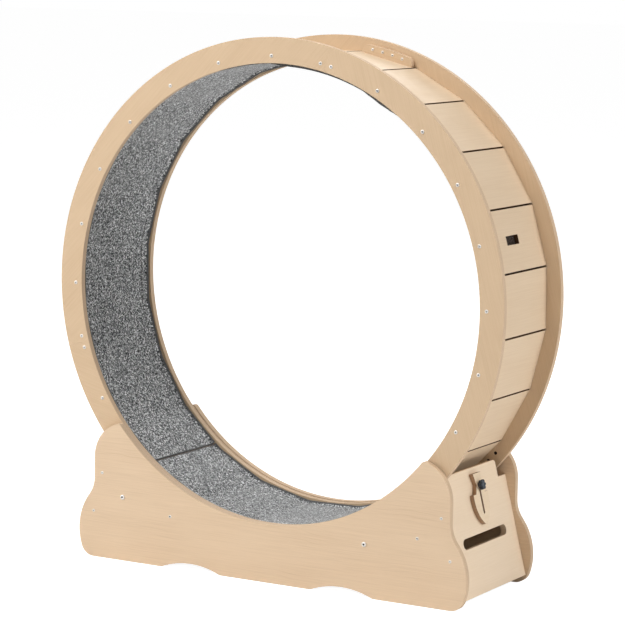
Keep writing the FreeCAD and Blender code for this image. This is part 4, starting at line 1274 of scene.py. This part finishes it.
@dataclass
class CradleBase:
    """The base: two side panels, two leaning end panels, their rods, bolts and rollers."""

    wheel: RunningWheel
    half_depth: float = 0.145
    board: float = 0.012
    cradle_radius: float = 0.448
    tip_radius: float = 0.008
    lobe_radius: float = 0.075
    lobe_height: float = 0.207
    neck: float = 0.405987
    waist_radius: float = 0.060
    bulge_radius: float = 0.115
    bulge_reach: float = 0.443487
    bulge_height: float = 0.057
    foot_radius: float = 0.030
    arch_reach: tuple[float, float] = (0.104, 0.242)
    arch_radius: float = 0.177
    end_tilt: float = 14.37
    end_foot: tuple[float, float] = (0.433687, 0.018)
    end_height: float = 0.2375
    end_shoulder: float = 0.203
    tab_half_width: float = 0.101
    tab_corner: float = 0.008
    hand_slot: tuple[float, float, float] = (0.101, 0.091, 0.0103)
    axle_reach: float = 0.2223
    roller_circle: float = 0.5112
    tie_place: tuple[float, float] = (0.336987, 0.1305)
    parking_hole: tuple[float, float, float, float] = (0.041, 0.178, 0.0020, 0.006)
    end_screw_heights: tuple[float, float] = (0.081, 0.164)
    domed_bolt: Head = Head(0.0050, 0.0022, Recess.HEXAGON, 0.0020, 0.0018, dome=0.7)
    flat_bolt: Head = Head(0.0032, 0.0009, Recess.HEXAGON, 0.0016, 0.0008)
    small_screw: Head = Head(0.0030, 0.0008, Recess.CROSS, 0.0017, 0.0007, segments=20)

    def build(self, finishes: Finishes, frame: dict) -> None:
        """Build and dress every piece of the base.

        Args:
            finishes: The materials.
        """
        for side, name in ((-1, "front"), (1, "rear")):
            node = f"{name}_side_panel"
            piece = self.side_panel(node + "_board", side)
            dress(piece, finishes.panel, "base", Slot.PLYWOOD, node)
        for side, node in ((1, "lock_end_panel"), (-1, "plain_end_panel")):
            dress(self.end_panel(node + "_board", side), finishes.end, "base", Slot.PLYWOOD, node)
        for node, head, places in (("domed_bolts", self.domed_bolt, self.bolt_places(domed=True)),
                                   ("flat_bolts", self.flat_bolt, self.bolt_places(domed=False)),
                                   ("end_panel_screws", self.small_screw, self.end_screw_places())):
            dress(heads_piece(node + "_heads", head, places), finishes.steel, "base", Slot.STEEL, node)
        refinish(frame, finishes.steel, "left_axle", "right_axle", "left_tie_rod", "right_tie_rod",
                 "bearing_hubs", "bearing_spacers", "front_left_roller", "front_right_roller",
                 "rear_left_roller", "rear_right_roller")

    def half_outline(self) -> Loop:
        """The right half of a side panel about the wheel's axis.

        Returns:
            The points, clockwise from its middle.
        """
        floor = -self.wheel.axle_height
        lobe = (self.neck - self.lobe_radius, floor + self.lobe_height)
        bulge = (self.bulge_reach - self.bulge_radius, floor + self.bulge_height)
        tip = crossing((0, 0), self.cradle_radius + self.tip_radius, lobe, self.lobe_radius - self.tip_radius)
        waist_x = self.neck + self.waist_radius
        waist_rise = math.sqrt((self.bulge_radius + self.waist_radius)**2 - (waist_x - bulge[0])**2)
        waist = (waist_x, bulge[1] + waist_rise)
        foot_y = floor + self.foot_radius
        foot_run = math.sqrt((self.bulge_radius - self.foot_radius)**2 - (foot_y - bulge[1])**2)
        foot = (bulge[0] + foot_run, foot_y)
        arch_middle = sum(self.arch_reach) / 2
        arch_half = (self.arch_reach[1] - self.arch_reach[0]) / 2
        arch_centre = (arch_middle, floor - math.sqrt(self.arch_radius**2 - arch_half**2))
        outline = arc_between((0, 0), (0, -self.cradle_radius), tip, False, 1.0)
        outline += arc_between(tip, outline[-1], pointing(lobe, tip, self.lobe_radius), True, 10)
        outline += arc_between(lobe, outline[-1], (self.neck, lobe[1]), True, 4)
        outline += arc_between(waist, (self.neck, waist[1]), bulge, False, 4)
        outline += arc_between(bulge, outline[-1], pointing(bulge, foot, self.bulge_radius), True, 4)
        outline += arc_between(foot, outline[-1], (foot[0], floor), True, 6)
        inner, outer = self.arch_reach
        outline += arc_between(arch_centre, (outer, floor), (inner, floor), False, 2)
        return outline

    def side_panel(self, name: str, side: int) -> bpy.types.Object:
        """A side panel of the base.

        Args:
            name: The piece's name.
            side: -1 at the front and 1 at the rear.

        Returns:
            The piece.
        """
        right = self.half_outline()
        left = [(-x, y) for x, y in reversed(right)]
        place = Matrix.Translation((0.0, side * (self.half_depth - self.board / 2), self.wheel.axle_height))
        board = Board(without_repeats(right + left), self.board)
        return board.mesh(name, place @ self.wheel.upright(), SIDE_GRAIN + side)

    def end_place(self, side: int, out: float = 0.0) -> Matrix:
        """The placement of what lies on an end panel's outer face: X across, Y up and Z out.

        Args:
            side: 1 for the end with the lock and -1 for the other.
            out: How far off the face it is.

        Returns:
            The placement.
        """
        tilt = math.radians(self.end_tilt)
        across, up = Vector((0, 1, 0)), Vector((-math.sin(tilt), 0, math.cos(tilt)))
        outward = Vector((math.cos(tilt), 0, math.sin(tilt)))
        spot = Vector((self.end_foot[0], 0, self.end_foot[1])) + outward * out
        frame = Matrix((across, up, outward)).transposed().to_4x4()
        frame.translation = spot
        return Matrix.Rotation(0 if side > 0 else math.pi, 4, "Z") @ frame

    def end_panel(self, name: str, side: int) -> bpy.types.Object:
        """An end panel with its tab and hand slot.

        Args:
            name: The piece's name.
            side: 1 for the end with the lock and -1 for the other.

        Returns:
            The piece.
        """
        half, tab, corner = self.half_depth - self.board, self.tab_half_width, self.tab_corner
        top = self.end_height
        right = [(half, 0.0), (half, self.end_shoulder), (tab, self.end_shoulder)]
        right += arc((tab - corner, top - corner), corner, 0, 90, 10)
        outline = right + [(-x, y) for x, y in reversed(right)]
        level, reach, radius = self.hand_slot
        slot = arc((reach - radius, level), radius, -90, 90, 10)
        slot += arc((radius - reach, level), radius, 90, 270, 10)
        across, up, bore, depth = self.parking_hole
        pits = [Pit((across, up), bore, depth, 1)] if side > 0 else []
        board = Board(outline, self.board, holes=[slot], pits=pits)
        return board.mesh(name, self.end_place(side, -self.board / 2), END_GRAIN + side)

    def bolt_places(self, domed: bool) -> list[Matrix]:
        """Where the rods' bolts stand; each rod has a domed bolt at one end and a flat one at the other.

        Args:
            domed: Whether the domed bolts are meant.

        Returns:
            The placements.
        """
        axle_drop = math.sqrt(self.roller_circle**2 - self.axle_reach**2)
        low = self.wheel.axle_height - axle_drop
        rods = ((-self.axle_reach, low, 1), (self.axle_reach, low, -1),
                (-self.tie_place[0], self.tie_place[1], -1), (self.tie_place[0], self.tie_place[1], 1))
        places = []
        for across, height, domed_side in rods:
            side = domed_side if domed else -domed_side
            places.append(standing(Vector((across, side * self.half_depth, height)), Vector((0, side, 0))))
        return places

    def end_screw_places(self) -> list[Matrix]:
        """Where the screws into the end panels' edges stand.

        Returns:
            The placements.
        """
        places = []
        for side in (-1, 1):
            for end in (-1, 1):
                for height in self.end_screw_heights:
                    spot = self.end_place(end) @ Vector((0, height, -self.board / 2))
                    spot.y = side * self.half_depth
                    places.append(standing(spot, Vector((0, side, 0))))
        return places


def pointing(centre: Point, through: Point, radius: float) -> Point:
    """The point at a radius from a centre, on the ray through another point."""
    share = radius / math.dist(centre, through)
    return (centre[0] + (through[0] - centre[0]) * share, centre[1] + (through[1] - centre[1]) * share)


def crossing(first: Point, first_radius: float, second: Point, second_radius: float) -> Point:
    """Where two circles cross.

    Args:
        first: The first circle's centre.
        first_radius: Its radius.
        second: The second circle's centre.
        second_radius: Its radius.

    Returns:
        The point on the left of the way from the first centre to the second.
    """
    apart = math.dist(first, second)
    along = (first_radius**2 - second_radius**2 + apart**2) / (2 * apart)
    off = math.sqrt(first_radius**2 - along**2)
    way = ((second[0] - first[0]) / apart, (second[1] - first[1]) / apart)
    return (first[0] + along * way[0] - off * way[1], first[1] + along * way[1] + off * way[0])


@dataclass
class WheelLock:
    """The sliding lock plate on one end panel and the star knob that clamps it."""

    base: CradleBase
    foot: float = 0.126
    length: float = 0.100
    thickness: float = 0.009
    arris: float = 0.0005
    slide_gap: float = 0.0002
    top_half: float = 0.0166
    waist: Point = (0.0096, 0.077)
    ledge_inner: Point = (0.018, 0.0605)
    ledge_outer: Point = (0.0293, 0.0605)
    belly: Point = (0.0266, 0.030)
    tip_half: float = 0.0035
    slot_radius: float = 0.003
    slot_reach: tuple[float, float] = (0.020, 0.079)
    knob_height_on_panel: float = 0.202
    knob_radius: float = 0.0105
    knob_lobes: int = 6
    knob_gap: float = 0.0003
    boss: tuple[float, float] = (0.0055, 0.003)
    knob_depth: float = 0.008
    knob_dip: float = 0.36
    knob_dip_power: float = 1.3
    knob_soft: float = 0.0012

    def build(self, finishes: Finishes, frame: dict) -> None:
        """Build and dress the lock.

        Args:
            finishes: The materials.
        """
        dress(self.plate("lock_plate_board"), finishes.plate, "lock_plate", Slot.PLYWOOD, "lock_plate")
        dress(self.knob("lock_knob_star"), finishes.knob, "lock_knob", Slot.KNOB, "lock_knob")
        refinish(frame, finishes.steel, "lock_screw")

    def plate(self, name: str) -> bpy.types.Object:
        """The plate: a tapered shield with a waist and a slot.

        Args:
            name: The piece's name.

        Returns:
            The piece.
        """
        right = [(self.tip_half, 0.0)]
        right += arc_through((self.tip_half, 0.0), self.belly, self.ledge_outer)
        right += [self.ledge_inner, self.waist, (self.top_half, self.length)]
        outline = without_repeats(right + [(-x, y) for x, y in reversed(right)])
        low, high = self.slot_reach[0] + self.slot_radius, self.slot_reach[1] - self.slot_radius
        slot = arc((0, high), self.slot_radius, 0, 180, 15) + arc((0, low), self.slot_radius, 180, 360, 15)
        place = self.base.end_place(1, self.slide_gap + self.thickness / 2)
        place @= Matrix.Translation((0, self.foot, 0))
        return Board(outline, self.thickness, holes=[slot], arris=self.arris).mesh(name, place, PLATE_GRAIN)

    def knob(self, name: str) -> bpy.types.Object:
        """The knob: a round boss under a crowned head with rounded lobes.

        Args:
            name: The piece's name.

        Returns:
            The piece.
        """
        stack = self.slide_gap + self.thickness + self.knob_gap
        boss_radius, boss_height = self.boss
        top, wide = boss_height + self.knob_depth, self.knob_radius
        soft = self.knob_soft
        profile = [(boss_radius, 0.0, 0.0), (boss_radius, boss_height, 0.0),
                   (wide - soft, boss_height, 1.0), (wide, boss_height + soft, 1.0),
                   (wide, top - 2 * soft, 1.0), (wide - 0.4 * soft, top - 0.8 * soft, 1.0),
                   (wide - 1.6 * soft, top - 0.15 * soft, 1.0), (0.45 * wide, top, 0.5),
                   (0.30 * wide, top - 0.4 * soft, 0.0)]
        count = 72
        place = self.base.end_place(1, stack) @ Matrix.Translation((0, self.knob_height_on_panel, 0))
        points = []
        for radius, height, lobed in profile:
            for step in range(count):
                turn = 2 * math.pi * step / count
                dip = 0.5 - 0.5 * math.cos(self.knob_lobes * turn)
                reach = radius * (1 - lobed * self.knob_dip * dip**self.knob_dip_power)
                points.append(place @ Vector((reach * math.cos(turn), reach * math.sin(turn), height)))
        piece = make_piece(name, points, skin(0, len(profile), count), None)
        piece.data.set_sharp_from_angle(angle=math.radians(50))
        return piece


# ------------------------------------------------------------------------------------ studio


@dataclass
class Softbox:
    """A square lamp that faces the wheel."""

    name: str
    place: tuple[float, float, float]
    power: float


@dataclass
class Studio:
    """The photograph's camera, a pale floor and soft light."""

    axle_height: float = 0.565
    focal_pixels: float = 2629.618
    frame_pixels: float = 640.0
    azimuth: float = 30.202
    elevation: float = 7.965
    roll: float = 0.869
    aside: float = 0.013014
    below: float = -0.060581
    distance: float = 5.208604
    world_level: float = 0.05
    lamp_size: float = 2.2
    floor_reach: float = 40.0
    floor_grey: float = 0.93
    floor_glow: float = 1.62
    floor_glow_share: float = 0.6
    boxes: tuple[Softbox, ...] = (
        Softbox("side_right", (4.8, 0.6, 2.6), 115.0),
        Softbox("front_high", (-2.6, -4.0, 4.6), 170.0),
        Softbox("top", (0.2, -0.2, 4.6), 16.0),
        Softbox("rear_high", (-1.0, 4.6, 3.6), 85.0),
        Softbox("front_right", (3.0, -4.6, 2.2), 16.0),
        Softbox("front_steep", (-0.8, -2.4, 5.0), 100.0),
        Softbox("left_low", (-4.8, -2.4, 1.8), 86.0),
    )

    def build(self) -> None:
        """Set up the camera, the light and the floor."""
        self.camera()
        self.world()
        for box in self.boxes:
            self.lamp(box)
        self.floor()

    def camera(self) -> None:
        """Place the camera where the photograph was taken from."""
        turn, rise = math.radians(self.azimuth), math.radians(self.elevation)
        back = Vector((math.sin(turn) * math.cos(rise), -math.cos(turn) * math.cos(rise), math.sin(rise)))
        level = Vector((math.cos(turn), math.sin(turn), 0.0))
        upright = back.cross(level)
        tip = math.radians(self.roll)
        right = level * math.cos(tip) + upright * math.sin(tip)
        up = upright * math.cos(tip) - level * math.sin(tip)
        spot = back * self.distance + right * self.aside + up * self.below
        data = bpy.data.cameras.new("photo_camera")
        data.sensor_width = 36.0
        data.sensor_fit = "AUTO"
        data.lens = self.focal_pixels / self.frame_pixels * data.sensor_width
        data.clip_end = 100.0
        camera = bpy.data.objects.new("photo_camera", data)
        frame = Matrix((right, up, back)).transposed().to_4x4()
        frame.translation = spot + Vector((0, 0, self.axle_height))
        camera.matrix_world = frame
        bpy.context.scene.collection.objects.link(camera)
        bpy.context.scene.camera = camera

    def world(self) -> None:
        """Soft white light from all round, plain white behind the wheel."""
        world = bpy.data.worlds.new("studio")
        bpy.context.scene.world = world
        world.use_nodes = True
        desk = NodeDesk(world.node_tree)
        world.node_tree.nodes.clear()
        path = desk.add("ShaderNodeLightPath")
        seen = desk.calc("MAXIMUM", path.outputs["Is Camera Ray"], path.outputs["Is Glossy Ray"])
        strength = desk.remap(seen, 0.0, 1.0, self.world_level, 1.0)
        sky = desk.feed(desk.add("ShaderNodeBackground"), Color=WHITE, Strength=strength)
        desk.feed(desk.add("ShaderNodeOutputWorld"), Surface=sky.outputs[0])

    def lamp(self, box: Softbox) -> None:
        """Hang one softbox, turned to the middle of the wheel.

        Args:
            box: The softbox.
        """
        data = bpy.data.lights.new(box.name, "AREA")
        data.shape = "SQUARE"
        data.size = self.lamp_size
        data.energy = box.power
        lamp = bpy.data.objects.new(box.name, data)
        way = Vector(box.place) - Vector((0, 0, self.axle_height))
        lamp.matrix_world = standing(Vector(box.place), way)
        bpy.context.scene.collection.objects.link(lamp)

    def floor(self) -> None:
        """A white floor that keeps a faint shadow."""
        reach = self.floor_reach
        spots = ((-reach, -reach), (reach, -reach), (reach, reach), (-reach, reach))
        piece = make_piece("studio_floor", [Vector((x, y, 0.0)) for x, y in spots], [(0, 1, 2, 3)], None)
        material = bpy.data.materials.new("floor_white")
        material.use_nodes = True
        desk = NodeDesk(material.node_tree)
        material.node_tree.nodes.clear()
        matt = desk.feed(desk.add("ShaderNodeBsdfDiffuse"), Color=[self.floor_grey] * 3)
        glow = desk.feed(desk.add("ShaderNodeEmission"), Color=WHITE, Strength=self.floor_glow)
        path = desk.add("ShaderNodeLightPath")
        share = desk.calc("MULTIPLY", path.outputs["Is Camera Ray"], self.floor_glow_share)
        mixed = desk.add("ShaderNodeMixShader")
        desk.join(share, mixed.inputs[0])
        desk.join(matt.outputs[0], mixed.inputs[1])
        desk.join(glow.outputs[0], mixed.inputs[2])
        desk.feed(desk.add("ShaderNodeOutputMaterial"), Surface=mixed.outputs[0])
        piece.data.materials.append(material)


# -------------------------------------------------------------------------------------- main


def corners(bounds: tuple[Vector, Vector]) -> list[list[float]]:
    """A box as plain lists of numbers."""
    return [[float(value) for value in corner] for corner in bounds]


def main() -> None:
    """Build the wheel's looks in order."""
    logging.basicConfig(level=logging.INFO, format="%(message)s")
    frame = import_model()
    bpy.context.scene.view_settings.view_transform = "Standard"
    Studio().build()
    finishes = Finishes()
    wheel = RunningWheel()
    wheel.build(finishes)
    CarpetLining(wheel).build(finishes)
    base = CradleBase(wheel)
    base.build(finishes, frame)
    WheelLock(base).build(finishes, frame)


if __name__ == "__main__":
    main()
